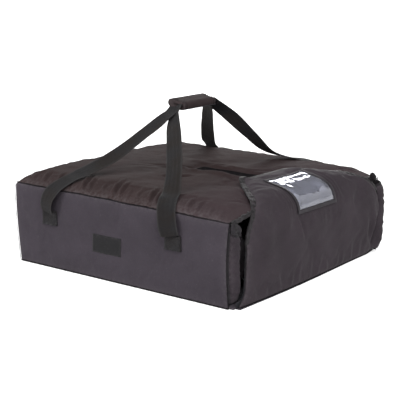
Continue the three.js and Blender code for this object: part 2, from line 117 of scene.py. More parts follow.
def top_plain(x, y):
    """The top as the filled cloth lies, without its folds: a pillow that rises steeply from its
    seams, pressed down under the flap's middle and lifted beside it."""
    side = np.maximum(HALF_WIDTH - SEAM_INSET - np.abs(x), 0)
    back = np.maximum(TOP_BACK - y, 0)
    hold = (1 - np.exp(-side / SEAM_SOFT)) * (1 - np.exp(-back / SEAM_SOFT))
    rear = 1 - (np.maximum(y, 0) / TOP_BACK) ** 3
    nose = np.sin(np.clip((y - MOUTH_Y) / LONG_NOSE, 0, 1) * math.pi / 2)
    edge = seam_height(y) + back_rise(x) * smooth((y - 150) / (TOP_BACK - 150))
    pressed = 6.0 * bell(x, 120) * smooth((-185 - y) / 50)
    lifted = 9.0 * bell(np.abs(x) - 188, 42) * smooth((-205 - y) / 50)
    return edge + nose * (TOP_LIFT * hold + TOP_CROWN * across_share(x) * rear) - pressed + lifted


def back_rise(x):
    """How far the seam along the back's upper edge stands above its corners."""
    return across_share(x) * (BACK_CROWN + 0.6 * np.sin(x / 29))


def smooth(t):
    t = np.clip(t, 0, 1)
    return t * t * (3 - 2 * t)


def bell(d, width):
    return np.exp(-(d / width) ** 2)


def ripple(x, y, scale, seed):
    """Soft unevenness from a few crossed waves, between about -1 and 1."""
    rng = np.random.RandomState(seed)
    waves = 7
    total = 0
    for _ in range(waves):
        turn = rng.uniform(0, 2 * math.pi)
        length = scale * rng.uniform(0.6, 1.6)
        phase = rng.uniform(0, 2 * math.pi)
        along = x * math.cos(turn) + y * math.sin(turn)
        total = total + np.sin(along / length * 2 * math.pi + phase)
    return total / math.sqrt(waves * 2.0)


def crease(x, y, start, end, width, height, valley=0.6, fade=1.0):
    """A ridge with a valley beside it, from start, where it is strongest, towards end."""
    ax, ay = start
    dx, dy = end[0] - ax, end[1] - ay
    length = math.hypot(dx, dy)
    t = ((x - ax) * dx + (y - ay) * dy) / length ** 2
    side = ((x - ax) * dy - (y - ay) * dx) / length
    ease = smooth((1 - t) / 0.55) * smooth((t + 0.35 * fade) / 0.35)
    return height * ease * (bell(side, width) - valley * bell(side - 1.7 * width, width))


BEND_Z = 145.18
FOLD_ALONG = BEND_Z + BEND * math.pi / 4
BEND_END = BEND_Z + BEND * math.pi / 2
TONGUE_END = BEND_END + TONGUE_RUN


def seam_height(y):
    """Height of the seam between a side panel and the top."""
    y = np.clip(y, -262, 262)
    return 155.6 + 3.6 * smooth((y + 265) / 530) + 0.5 * np.sin(y / 31.0) + 0.35 * np.sin(y / 13.0)


def front_seam(z, sign):
    """Where the side panel ends at the mouth: its seam bows back between its corners."""
    bowed = -261.0 + 6.5 * np.sin(np.clip(z / 156.0, 0, 1) * math.pi) ** 0.8
    return bowed + (8.0 * np.exp(-z / 30) if sign > 0 else 0.0)


def grid_index(rows, cols, start=0):
    return start + np.arange(rows * cols).reshape(rows, cols)


def quads(index):
    corners = (index[:-1, :-1], index[:-1, 1:], index[1:, 1:], index[1:, :-1])
    return np.stack(corners, -1).reshape(-1, 4)


def rim(index):
    """Vertices round the edge of a grid, in order."""
    return np.concatenate([index[0, :-1], index[:-1, -1], index[-1, :0:-1], index[:0:-1, 0]])


def volume_of(points, faces):
    a, b, c, d = (points[faces[:, i]] for i in range(4))
    halves = (np.einsum("ij,ij->i", a, np.cross(p, q)).sum() for p, q in ((b, c), (c, d)))
    return float(sum(halves))


def make_object(name, points, faces, material, slot, cloth, worn=None):
    """A mesh object from points in millimetres. cloth is where each point lies on the flat cloth,
    in millimetres, and worn says how near an edge or seam it is."""
    points = np.asarray(points, float)
    mesh = bpy.data.meshes.new(name)
    mesh.from_pydata((points * MM).tolist(), [], [list(map(int, f)) for f in faces])
    mesh.validate()
    mesh.polygons.foreach_set("use_smooth", [True] * len(mesh.polygons))
    flat = np.zeros((len(points), 3), np.float32)
    flat[:, :2] = np.asarray(cloth, float)[:, :2] * MM
    mesh.attributes.new("cloth", "FLOAT_VECTOR", "POINT").data.foreach_set("vector", flat.ravel())
    values = np.zeros(len(points), np.float32) if worn is None else np.asarray(worn, np.float32)
    mesh.attributes.new("worn", "FLOAT", "POINT").data.foreach_set("value", values)
    mesh.materials.append(material)
    piece = bpy.data.objects.new(name, mesh)
    bpy.context.scene.collection.objects.link(piece)
    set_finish(piece, slot)
    return piece


def pillow(name, front, back, material, slot, cloth, worn=None):
    """A closed padded form: two faces that meet at their edge. The back's edge points are unused."""
    rows, cols = front.shape[:2]
    outer = grid_index(rows, cols)
    inner = outer.copy()
    count = (rows - 2) * (cols - 2)
    inner[1:-1, 1:-1] = rows * cols + np.arange(count).reshape(rows - 2, cols - 2)
    points = np.concatenate([front.reshape(-1, 3), back[1:-1, 1:-1].reshape(-1, 3)])
    faces = np.concatenate([quads(outer), quads(inner)[:, ::-1]])
    if volume_of(points, faces) < 0:
        faces = faces[:, ::-1]
    flat = np.concatenate([cloth.reshape(-1, 2), cloth[1:-1, 1:-1].reshape(-1, 2)])
    if worn is not None:
        worn = np.concatenate([worn.reshape(-1), worn[1:-1, 1:-1].reshape(-1)])
    return make_object(name, points, faces, material, slot, flat, worn)


def slab(name, front, back, material, slot, cloth, worn=None):
    """A closed sheet between two faces of the same grid, with its edge closed by a band."""
    rows, cols = front.shape[:2]
    outer = grid_index(rows, cols)
    inner = grid_index(rows, cols, rows * cols)
    points = np.concatenate([front.reshape(-1, 3), back.reshape(-1, 3)])
    a, b = rim(outer), rim(inner)
    band = np.stack([a, b, np.roll(b, -1), np.roll(a, -1)], -1)
    faces = np.concatenate([quads(outer), quads(inner)[:, ::-1], band])
    if volume_of(points, faces) < 0:
        faces = faces[:, ::-1]
    flat = np.concatenate([cloth.reshape(-1, 2)] * 2)
    if worn is not None:
        worn = np.concatenate([worn.reshape(-1)] * 2)
    return make_object(name, points, faces, material, slot, flat, worn)


def ring_faces(rings, size):
    faces = []
    for j in range(rings - 1):
        a = j * size + np.arange(size)
        b = a + size
        faces.append(np.stack([a, np.roll(a, -1), np.roll(b, -1), b], -1))
    return np.concatenate(faces)


def sweep(name, sections, material, slot, cloth, worn=None):
    """A closed form through sections, an array of rings by points by 3. Its ends are closed by fans."""
    rings, size = sections.shape[:2]
    middles = np.stack([sections[0].mean(0), sections[-1].mean(0)])
    points = np.concatenate([sections.reshape(-1, 3), middles])
    flat = np.concatenate([cloth.reshape(-1, 2), cloth[0].mean(0)[None], cloth[-1].mean(0)[None]])
    if worn is not None:
        worn = worn.reshape(-1)
        worn = np.concatenate([worn, [worn[0], worn[-1]]])
    faces = ring_faces(rings, size).tolist()
    first = rings * size
    base = first - size
    for i in range(size):
        n = (i + 1) % size
        faces += [[n, i, first], [base + i, base + n, first + 1]]
    four = np.array([(f + f[-1:])[:4] for f in faces])
    if volume_of(points, four) < 0:
        faces = [f[::-1] for f in faces]
    return make_object(name, points, faces, material, slot, flat, worn)


def run_of(points, power=1.0):
    """How far along a line each of its points lies."""
    steps = np.linalg.norm(np.diff(points, axis=0), axis=1) ** power
    return np.concatenate([[0], np.cumsum(steps)])


def resample(points, step):
    """A smooth line through the given points, at even steps."""
    points = np.asarray(points, float)
    knots = run_of(points, 0.5)
    fine = []
    for i in range(len(points) - 1):
        p0, p1, p2, p3 = (points[np.clip(i + k, 0, len(points) - 1)] for k in (-1, 0, 1, 2))
        span = knots[i + 1] - knots[i]
        m1 = m2 = p2 - p1
        if i:
            before = knots[i] - knots[i - 1]
            m1 = ((p1 - p0) / before - (p2 - p0) / (before + span) + (p2 - p1) / span) * span
        if i + 2 < len(points):
            after = knots[i + 2] - knots[i + 1]
            m2 = ((p2 - p1) / span - (p3 - p1) / (span + after) + (p3 - p2) / after) * span
        t = np.linspace(0, 1, 24, endpoint=False)[:, None]
        fine.append((2 * t ** 3 - 3 * t ** 2 + 1) * p1 + (t ** 3 - 2 * t ** 2 + t) * m1
                    + (3 * t ** 2 - 2 * t ** 3) * p2 + (t ** 3 - t ** 2) * m2)
    fine = np.concatenate(fine + [points[-1:]])
    far = run_of(fine)
    at = np.linspace(0, far[-1], max(2, int(round(far[-1] / step)) + 1))
    return np.stack([np.interp(at, far, fine[:, k]) for k in range(fine.shape[1])], -1), at


def tangents(points):
    t = np.gradient(points, axis=0)
    return t / np.linalg.norm(t, axis=1, keepdims=True)


def unit(v):
    return v / np.maximum(np.linalg.norm(v, axis=-1, keepdims=True), 1e-9)


class Tree:
    """A material, with short names for its nodes. It ends in one shaded surface."""

    def __init__(self, name):
        self.material = bpy.data.materials.new(name)
        self.material.use_nodes = True
        self.tree = self.material.node_tree
        self.tree.nodes.clear()
        self.output = self.tree.nodes.new("ShaderNodeOutputMaterial")
        self.shader = self.tree.nodes.new("ShaderNodeBsdfPrincipled")
        self.tree.links.new(self.shader.outputs[0], self.output.inputs[0])

    def set(self, socket, value):
        if isinstance(value, bpy.types.NodeSocket):
            self.tree.links.new(value, socket)
        else:
            socket.default_value = (*value[:3], 1.0) if isinstance(value, tuple) else value

    def fill(self, node, inputs):
        for key, value in inputs.items():
            self.set(node.inputs[key.replace("_", " ")], value)
        return node

    def node(self, kind, **inputs):
        return self.fill(self.tree.nodes.new(kind), inputs)

    def surface(self, **inputs):
        """Sets the shaded surface and gives the finished material."""
        self.fill(self.shader, inputs)
        return self.material

    def math(self, operation, a, b=0.0, clamp=False):
        made = self.tree.nodes.new("ShaderNodeMath")
        made.operation = operation
        made.use_clamp = clamp
        self.set(made.inputs[0], a)
        self.set(made.inputs[1], b)
        return made.outputs[0]

    def times(self, a, b, clamp=False):
        return self.math("MULTIPLY", a, b, clamp)

    def wave(self, value, pitch):
        return self.math("SINE", self.times(value, 2 * math.pi / pitch))

    def place(self):
        return self.node("ShaderNodeTexCoord").outputs["Object"]

    def attribute(self, name, output):
        made = self.tree.nodes.new("ShaderNodeAttribute")
        made.attribute_name = name
        return made.outputs[output]

    def split(self, vector):
        return self.node("ShaderNodeSeparateXYZ", Vector=vector).outputs[:2]

    def noise(self, vector, scale, detail=3.0, rough=0.55):
        return self.node("ShaderNodeTexNoise", Vector=vector, Scale=scale, Detail=detail,
                         Roughness=rough).outputs[0]

    def spread(self, value, low, high, to_low=0.0, to_high=1.0):
        return self.node("ShaderNodeMapRange", Value=value, From_Min=low, From_Max=high,
                         To_Min=to_low, To_Max=to_high).outputs[0]

    def mix(self, factor, a, b):
        made = self.tree.nodes.new("ShaderNodeMix")
        made.data_type = "RGBA"
        for index, value in ((0, factor), (6, a), (7, b)):
            self.set(made.inputs[index], value)
        return made.outputs[2]

    def bump(self, height, strength, distance, **normal):
        return self.node("ShaderNodeBump", Strength=strength, Distance=distance, Height=height,
                         **normal).outputs[0]


def shade(colour, share):
    return tuple(c * share for c in colour)


def woven(name, colour, pitch=0.0009, contrast=0.35, mottle=0.12, rough=0.8, sheen=0.04,
          dust=(0.12, 0.11, 0.115), worn=0.3, bump=0.00012, gloss=0.04, front=None):
    """Woven cloth: threads over and under each other, uneven dye, a little dust and worn edges.
    front is a second, lighter colour that the cloth fades to near the mouth: painted light on the top's nose,
    where it turns towards the light."""
    t = Tree(name)
    cloth = t.attribute("cloth", "Vector")
    place = t.place()
    u, v = t.split(cloth)
    height = t.spread(t.times(t.wave(u, pitch), t.wave(v, pitch)), -1, 1)
    broad = t.noise(place, 14, 3)
    fine = t.noise(place, 160, 4, 0.6)
    slub = t.noise(cloth, 900, 2)
    dark = shade(colour, 1 - mottle * 2.0)
    base = t.mix(t.spread(broad, 0.32, 0.68), dark, shade(colour, 1 + mottle * 2.2))
    base = t.mix(t.times(t.spread(fine, 0.42, 0.75), 0.35), base, dark)
    # Towards the mouth the cloth fades to the lighter front colour: painted light.
    if front is not None:
        base = t.mix(t.spread(t.split(place)[1], -0.06, -0.22, 0.0, 0.8), base, front)
    base = t.mix(t.spread(height, 0.0, 0.55, contrast, 0.0), base, shade(colour, 0.45))
    specks = t.spread(t.noise(place, 520, 1, 0.4), 0.68, 0.78)
    base = t.mix(t.times(specks, 0.25), base, dust)
    edge = t.times(t.attribute("worn", "Fac"), t.spread(fine, 0.35, 0.65))
    base = t.mix(t.times(edge, worn, True), base, dust)
    relief = t.bump(slub, 0.25, 0.0002)
    return t.surface(Base_Color=base, Roughness=t.spread(broad, 0.3, 0.7, rough - 0.05, rough + 0.07),
                     Sheen_Weight=sheen, Sheen_Roughness=0.4, Specular_IOR_Level=gloss,
                     Normal=t.bump(height, 0.6, bump, Normal=relief))


def webbing_cloth(name, colour, speckle=0.12, on_node=False):
    """Heavy webbing: chevrons of thick yarn between two firm edges. on_node is for a node that keeps
    its own shape and has no cloth attribute."""
    dust = (0.13, 0.125, 0.128)
    t = Tree(name)
    place = t.place()
    u, v = t.split(place)[::-1] if on_node else t.split(t.attribute("cloth", "Vector"))
    slant = t.math("ADD", v, t.math("PINGPONG", u, 0.0045))
    yarn = t.wave(slant, 0.0019)
    height = t.spread(t.math("ADD", yarn, t.times(t.wave(u, 0.0011), 0.45)), -1.45, 1.45)
    fibres = t.noise(place, 700, 3, 0.7)
    wear = t.noise(place, 25, 3, 0.5)
    base = t.mix(t.spread(height, 0.15, 0.8), shade(colour, 0.45), shade(colour, 1.12))
    base = t.mix(t.times(t.spread(fibres, 0.45, 0.7), speckle), base, dust)
    warm = (colour[0] * 1.0, colour[1] * 0.8, colour[2] * 0.62)
    base = t.mix(t.times(t.spread(wear, 0.42, 0.62), 0.55), base, warm)
    base = t.mix(t.times(t.attribute("worn", "Fac"), 0.12), base, dust)
    return t.surface(Base_Color=base, Roughness=t.spread(wear, 0.3, 0.7, 0.78, 0.88), Sheen_Weight=0.03,
                     Sheen_Roughness=0.5, Specular_IOR_Level=0.06, Normal=t.bump(height, 0.8, 0.0005))


def ribbed_tape(name, colour, crease_shade_share=0.5, crinkle=0.0012):
    """Binding tape: fine ribs across its length, crinkled where it is turned over an edge. Its colour darkens
    in the crinkles' hollows: painted shade.
    """
    t = Tree(name)
    place = t.place()
    v = t.split(t.attribute("cloth", "Vector"))[1]
    ribs = t.spread(t.wave(v, 0.0013), -1, 1)
    creases = t.noise(place, 130, 3, 0.65)
    # Darker where the crinkle bump is low: painted shade in the crinkles.
    base = t.mix(t.spread(creases, 0.36, 0.62), shade(colour, crease_shade_share), colour)
    base = t.mix(t.times(t.spread(ribs, 0.0, 0.5, 1.0, 0.0), 0.3), base, shade(colour, 0.4))
    relief = t.bump(creases, 0.9, crinkle)
    return t.surface(Base_Color=base, Roughness=0.62, Sheen_Weight=0.06, Sheen_Roughness=0.35,
                     Specular_IOR_Level=0.12, Normal=t.bump(ribs, 0.5, 0.0002, Normal=relief))


def pile_tape(name, colour, scale, depth, shine, sheen=0.08, gloss=0.15):
    """Loop pile or hooks: a dense field of small bumps."""
    t = Tree(name)
    cloth = t.attribute("cloth", "Vector")
    cells = t.node("ShaderNodeTexVoronoi", Vector=cloth, Scale=scale).outputs["Distance"]
    fuzz = t.noise(cloth, scale * 0.6, 4, 0.7)
    height = t.math("SUBTRACT", fuzz, cells)
    base = t.mix(t.spread(height, -0.3, 0.5), shade(colour, 0.4), shade(colour, 1.5))
    return t.surface(Base_Color=base, Roughness=t.spread(fuzz, 0.3, 0.7, shine, shine + 0.1),
                     Sheen_Weight=sheen, Specular_IOR_Level=gloss, Normal=t.bump(height, 1.0, depth))


def clear_vinyl(name):
    """Clear film: mostly see-through, with a mirror that grows towards a flat angle."""
    t = Tree(name)
    place = t.place()
    haze = t.noise(place, 45, 3, 0.6)
    relief = t.bump(t.noise(place, 30, 2, 0.5), 0.25, 0.0012)
    clear = t.node("ShaderNodeBsdfTransparent", Color=(0.94, 0.94, 0.96))
    fresnel = t.node("ShaderNodeFresnel", IOR=1.6, Normal=relief).outputs[0]
    share = t.math("ADD", t.times(fresnel, 1.6), t.spread(haze, 0.4, 0.8, 0.02, 0.06), True)
    mixed = t.node("ShaderNodeMixShader")
    for index, value in enumerate((share, clear.outputs[0], t.shader.outputs[0])):
        t.set(mixed.inputs[index], value)
    t.set(t.output.inputs[0], mixed.outputs[0])
    return t.surface(Base_Color=(0.86, 0.87, 0.93), Metallic=0.85,
                     Roughness=t.spread(haze, 0.3, 0.75, 0.03, 0.08), Normal=relief)


WEBBING_DARK = (0.0135, 0.0128, 0.0138)


NYLON = woven("nylon_charcoal", (0.036, 0.0305, 0.0375), mottle=0.06)
# The flap's copy of the nylon is toned apart from the sides' for the light the flap gets: painted light and
# shade. The right wing wears it too.
NYLON_FLAP = woven("nylon_flap", (0.034, 0.0275, 0.0325), mottle=0.08)
# The top's copy of the nylon is darker and browner than the sides': painted shade against the light that
# falls on the top. Its front colour is painted light.
NYLON_TOP = woven("nylon_top_painted_shade_and_light", (0.0272, 0.0186, 0.0186), sheen=0.01, mottle=0.08, gloss=0.02,
                  front=(0.041, 0.030, 0.0335))
# A darker copy of the nylon for the left wing, which lies in shade: painted shade.
NYLON_WING_SHADED = woven("nylon_wing_painted_shade", (0.0270, 0.0215, 0.0260), mottle=0.08)
# The hand wrap's nylon is a darker copy, against the light on its upper face: painted shade.
GRIP_CLOTH = woven("nylon_grip", (0.0290, 0.0215, 0.0220), sheen=0.01, mottle=0.06, worn=0.15)
LINING = woven("lining_coated", (0.020, 0.020, 0.023), pitch=0.0006, contrast=0.2, mottle=0.06,
               rough=0.5, sheen=0.1, dust=(0.07, 0.07, 0.075), bump=0.00006)
PATCH = woven("patch_plain", (0.014, 0.0135, 0.0145), pitch=0.0007, contrast=0.5, mottle=0.05,
              rough=0.6, sheen=0.05, worn=0.15, bump=0.0002)
WEBBING_CLOTH = webbing_cloth("webbing_dark", WEBBING_DARK, 0.05)
WEBBING_MIDDLE = webbing_cloth("webbing_middle", WEBBING_DARK, 0.05, on_node=True)
# A darker, warmer copy of the webbing for the rear right leg, which lies in shadow: painted shade.
WEBBING_SHADED = webbing_cloth("webbing_painted_shade", (0.0105, 0.0088, 0.0082), 0.03)
# A paler copy of the webbing for the front right leg, whose underside catches light from below: painted
# light.
WEBBING_LIT = webbing_cloth("webbing_painted_light", (0.0195, 0.0190, 0.0212), 0.05)
TAB_CLOTH = webbing_cloth("webbing_tab", (0.0105, 0.0100, 0.0115), 0.36)
SEAM_SOFT_CLOTH = woven("seam_cloth_light", (0.026, 0.022, 0.025), pitch=0.0006, contrast=0.3, worn=0.0)
BINDING = ribbed_tape("binding_grey", (0.027, 0.0245, 0.0265), 0.32)
# A darker copy of the binding for edges that lie in shade: the mouth's side edges in their grooves, the wings
# and the left mouth corner. Painted shade.
BINDING_SHADED = ribbed_tape("binding_painted_shade", (0.020, 0.0178, 0.0205))
POCKET_TAPE = ribbed_tape("pocket_tape", (0.034, 0.030, 0.035), 0.6, 0.0006)
LOOP_TAPE = pile_tape("loop_pile", (0.0045, 0.0035, 0.0045), 700, 0.0011, 0.9, 0.0, 0.02)
# Near-black cloth for the lower seams, the grip's hem lines and the right mouth corner. On the front seams
# between side panel and wing, and in that corner, its darkness is painted shade of the groove and the corner.
SEAM_CLOTH_SHADED = woven("seam_cloth", (0.010, 0.009, 0.010), pitch=0.0006, contrast=0.3, worn=0.0)
HOOK_TAPE = pile_tape("hook_field", (0.020, 0.020, 0.023), 620, 0.0009, 0.5)
THREAD = woven("thread_dark", (0.022, 0.020, 0.023), pitch=0.0005, contrast=0.3, rough=0.6)
VINYL = clear_vinyl("vinyl_clear")


def subdivide(piece):
    modifier = piece.modifiers.new("finer", "SUBSURF")
    modifier.levels = 1
    modifier.render_levels = 1
    return piece


def values_of(data, key, width, kind=float):
    """A value of every entry of a mesh's data, in rows."""
    found = np.empty(len(data) * width, kind)
    data.foreach_get(key, found)
    return found.reshape(-1, width)


SETTLE_FRAMES = 16
SETTLE_STIFFNESS = 18.0


def settle(piece, pinned, cap, pressure=3.0, swell=0.015):
    """Lets the padded cloth find its own wrinkles: it is a little larger than its frame, is held
    along its seams and is pressed out from inside. No point moves further than the cap, in mm."""
    mesh = piece.data
    before = values_of(mesh.vertices, "co", 3)
    group = piece.vertex_groups.new(name="held")
    pinned = np.round(pinned, 2)
    for weight in np.unique(pinned):
        if weight > 0:
            group.add(np.nonzero(pinned == weight)[0].tolist(), float(weight), "REPLACE")
    modifier = piece.modifiers.new("settle", "CLOTH")
    settings = modifier.settings
    settings.quality = 6
    settings.mass = 0.15
    settings.tension_stiffness = SETTLE_STIFFNESS
    settings.compression_stiffness = SETTLE_STIFFNESS
    settings.shear_stiffness = SETTLE_STIFFNESS * 0.4
    settings.bending_stiffness = 2.0
    settings.use_pressure = True
    settings.uniform_pressure_force = pressure
    settings.shrink_min = -swell
    settings.vertex_group_mass = "held"
    settings.effector_weights.gravity = 0
    modifier.collision_settings.use_collision = False
    modifier.point_cache.frame_start = 1
    modifier.point_cache.frame_end = SETTLE_FRAMES
    scene = bpy.context.scene
    for number in range(1, SETTLE_FRAMES + 1):
        scene.frame_set(number)
    graph = bpy.context.evaluated_depsgraph_get()
    after = values_of(piece.evaluated_get(graph).to_mesh().vertices, "co", 3)
    piece.evaluated_get(graph).to_mesh_clear()
    piece.modifiers.remove(modifier)
    piece.vertex_groups.remove(group)
    scene.frame_set(1)
    move = after - before
    far = np.linalg.norm(move, axis=1, keepdims=True)
    move = move * np.minimum(1, cap * MM / np.maximum(far, 1e-9))
    mesh.vertices.foreach_set("co", (before + move).ravel())
    mesh.update()


def turned_to(thing, place, target):
    """Puts a camera or light at a place, turned towards its target."""
    thing.location = place
    aim = Vector(target) - Vector(place)
    thing.rotation_euler = aim.to_track_quat("-Z", "Y").to_euler()
    bpy.context.scene.collection.objects.link(thing)


# The camera comes first: it stands where the photograph's stood
CAMERA_PLACE = (-1.812, -1.421, 0.6347)
CAMERA_TARGET = (-0.0025, 0.0025, 0.1154)
CAMERA_LENS = 104.6


def make_camera():
    data = bpy.data.cameras.new("camera")
    data.sensor_width = 36
    data.lens = CAMERA_LENS
    data.clip_end = 100
    camera = bpy.data.objects.new("camera", data)
    turned_to(camera, CAMERA_PLACE, CAMERA_TARGET)
    bpy.context.scene.camera = camera


def area_light(name, place, target, size, power):
    data = bpy.data.lights.new(name, "AREA")
    data.shape = "RECTANGLE"
    data.size, data.size_y = size
    data.energy = power
    turned_to(bpy.data.objects.new(name, data), place, target)


FLAG_X = 2.2
FLOOR_HALF = 40


def panel(name, corners, material):
    """A flat piece of the studio, which isn't part of the bag."""
    mesh = bpy.data.meshes.new(name)
    mesh.from_pydata(corners, [], [(0, 1, 2, 3)])
    mesh.materials.append(material)
    made = bpy.data.objects.new(name, mesh)
    bpy.context.scene.collection.objects.link(made)


def make_stage():
    world = bpy.data.worlds.new("studio")
    world.use_nodes = True
    background = world.node_tree.nodes["Background"]
    background.inputs[0].default_value = (1.0, 1.0, 1.0, 1)
    background.inputs[1].default_value = 1.0
    bpy.context.scene.world = world
    pale = Tree("floor_pale").surface(Base_Color=(0.62, 0.62, 0.62), Roughness=0.9, Specular_IOR_Level=0.1,
                                      Emission_Color=(1, 1, 1), Emission_Strength=0.62)
    black = Tree("flag_black").surface(Base_Color=(0.01, 0.01, 0.01), Roughness=0.9)
    square = ((-1, -1), (1, -1), (1, 1), (-1, 1))
    panel("floor", [(x * FLOOR_HALF, y * FLOOR_HALF, 0) for x, y in square], pale)
    for name, y0, y1, low in (("flag", -0.85, 0.86, 0.95), ("flag_high", 0.86, 2.4, 1.5)):
        panel(name, [(FLAG_X, y, z) for y, z in ((y0, low), (y1, low), (y1, 3.2), (y0, 3.2))], black)
    area_light("key", (-1.7, -1.5, 2.3), (0, 0, 0.1), (0.9, 0.9), 54)
    area_light("side", (-2.6, 1.3, 1.0), (0, 0, 0.1), (0.7, 0.7), 36)
    area_light("behind", (2.5, 1.4, 1.2), (0, -0.2, 0.17), (2.2, 1.6), 60)
    bpy.context.scene.view_settings.view_transform = "Standard"


# Start, end, width and height of the puckers along the top's left seam
TOP_PUCKERS = [
    ((-258, 197), (-208, 218), 6, 3.6), ((-258, 160), (-196, 188), 5, 2.4),
    ((-262, 90), (-176, 134), 5, 5.0), ((-262, 74), (-180, 114), 5, 3.4),
    ((-262, 13), (-178, 48), 5.5, 4.8), ((-262, -3), (-186, 25), 4.5, 3.8),
    ((-262, -44), (-205, -26), 5, 2.4), ((-264, -76), (-190, -47), 5.5, 5.0),
    ((-264, -91), (-198, -68), 4.5, 4.2), ((-262, -128), (-212, -114), 5, 2.6),
    ((-264, -163), (-208, -151), 5.5, 4.4), ((-264, -183), (-210, -173), 4.5, 4.2),
    ((-260, -210), (-224, -205), 4.5, 3.2), ((-262, -236), (-226, -230), 4.5, 2.8),
    ((-264, 128), (-210, 152), 5, 2.6), ((-264, 42), (-206, 62), 4.5, 2.2),
    ((-264, -22), (-214, -8), 4.5, 2.0), ((-264, 226), (-222, 238), 5, 2.2),
]
TOP_FOLDS = [
    ((-24, -10), (-72, 140), 9, 3.0, 1.0, 0.2), ((-116, 13), (-58, -45), 7, 2.6, 0.8, 0.2),
    ((26, -6), (52, 120), 11, 1.6, 0.8, 0.2), ((-60, 48), (-100, 120), 11, 2.0, 0.7, 0.2),
]


def top_relief(x, y):
    """Folds and unevenness of the top panel, above its plain crown."""
    puckers = [(start, end, 0.66 * width, 0.95 * height, 0.9) for start, end, width, height in TOP_PUCKERS]
    relief = creased(0.0, x, y, puckers)
    rng = np.random.RandomState(4)

    def draw(*spans):
        return [rng.uniform(*span) for span in spans]

    for place in np.linspace(-235, 235, 15):
        jitter, reach, turn, height = draw((-9, 9), (38, 75), (-6, 34), (1, 2.4))
        start = (262, place + jitter)
        relief = relief + crease(x, y, start, (262 - reach, place + jitter + turn), 5.5, height)
    for place in np.linspace(-220, 220, 13):
        jitter, reach, turn, height = draw((-9, 9), (35, 65), (-26, 26), (0.4, 1.0))
        start = (place + jitter, 276)
        relief = relief + crease(x, y, start, (place + jitter + turn, 276 - reach), 5.5, height)
    reach = smooth((14 - y) / 26) * (1 - 0.75 * smooth((-138 - y) / 22))
    groove = -2.6 * smooth((27 - np.abs(x)) / 8) * smooth((14 - y) / 26)
    beside = (5.2 * bell(x + 35, 13) + 3.2 * bell(x - 36, 14)) * reach
    relief = creased(relief + groove + beside, x, y, TOP_FOLDS)
    calm = 1 - 0.85 * smooth((-140 - y) / 20) * smooth((95 - np.abs(x)) / 20)
    return relief + (1.1 * ripple(x, y, 110, 11) + 0.35 * ripple(x, y, 40, 12)) * calm


def line_wall(name, front, back, flat, node):
    """The lining of one of the bag's walls: a sheet that lies on the wall's padding."""
    sheet = slab(name, front, back, LINING, "lining", flat)
    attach(sheet, "bag")
    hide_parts(node)


def top_surface(x, y):
    """Height of the top panel's cloth."""
    d = np.maximum(np.minimum(HALF_WIDTH - SEAM_INSET - np.abs(x), TOP_BACK - y), 0)
    front = smooth((y + 262) / 16)
    return top_plain(x, y) + top_relief(x, y) * smooth((d + 2) / 14) * (0.25 + 0.75 * front)


def worn_near(d, width=10.0):
    return np.exp(-np.maximum(d, 0) / width)


def wall_depth(d):
    """Thickness of a padded wall, by distance from the seam."""
    return (WALL - 1.4) * np.tanh(np.maximum(d, 0) / 11.0)


def make_top():
    edge = HALF_WIDTH - SEAM_INSET
    xs = np.linspace(-edge, edge, 143)
    xs = edge * np.sign(xs) * (1 - (1 - np.abs(xs / edge)) ** 1.12)
    nose = MOUTH_Y + 34
    ys = np.concatenate([np.linspace(MOUTH_Y + 1, nose, 9)[:-1], np.linspace(nose, TOP_BACK, 172)])
    x, y = np.meshgrid(xs, ys)
    z = top_surface(x, y)
    d = np.minimum(edge - np.abs(x), TOP_BACK - y)
    depth = wall_depth(np.minimum(d, (y - MOUTH_Y) * 3 + 6)) + 0.6 * smooth(d / 20) * ripple(x, y, 60, 31)
    flat = stacked(x, y)
    piece = pillow("top_panel", stacked(x, y, z), stacked(x, y, z - depth), NYLON_TOP, "nylon_top", flat,
                   worn_near(d))
    held = np.ones(len(piece.data.vertices))
    grip = np.clip(1.15 - d / 26, 0, 1)
    grip = np.maximum(grip, smooth((-232 - y) / 12))
    grip = np.maximum(grip, smooth((-120 - y) / 20) * smooth((110 - np.abs(x)) / 20))
    grip = np.maximum(grip, smooth((30 - np.abs(x)) / 8) * smooth((20 - y) / 20))
    held[:x.size] = np.maximum(grip, 0.04).reshape(-1)
    settle(piece, held, 3.0)
    subdivide(piece)
    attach(piece, "bag")
    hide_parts("outer_top", "padding_top")
    cut = np.s_[2:-6, 5:-5]
    line_wall("top_lining", stacked(x, y, z - depth - 0.5)[cut], stacked(x, y, z - depth - 1.3)[cut],
              flat[cut], "lining_top")


def wall_panel(name, place, x, z, d, relief, cad, still=0.0):
    """A padded wall: place(x, z, out) gives a point, and out is how far it stands out of the seams.
    still says where nothing may move, because something is sewn on or lies close."""
    out = SIDE_PUFF * (1 - np.exp(-np.maximum(d, 0) / SEAM_SOFT)) + relief * smooth(d / 18)
    depth = wall_depth(d)
    flat = stacked(x, z)
    piece = pillow(name + "_panel", place(x, z, out), place(x, z, out - depth), NYLON, "nylon", flat,
                   worn_near(d, 5))
    held = np.ones(len(piece.data.vertices))
    grip = np.maximum(np.clip(1.15 - d / 22, 0, 1), 0.05)
    held[:x.size] = np.maximum(grip, still).reshape(-1)
    settle(piece, held, 1.3, pressure=1.0, swell=0.008)
    subdivide(piece)
    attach(piece, "bag")
    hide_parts("outer_" + cad, "padding_" + cad)
    cut = np.s_[2:-2, 2:-2]
    line_wall(name + "_lining", place(x, z, out - depth - 0.5)[cut], place(x, z, out - depth - 1.3)[cut],
              flat[cut], "lining_" + cad)


SIDE_PUCKERS = (-228, -190, -150, -96, -52, 10, 66, 118, 170, 222)


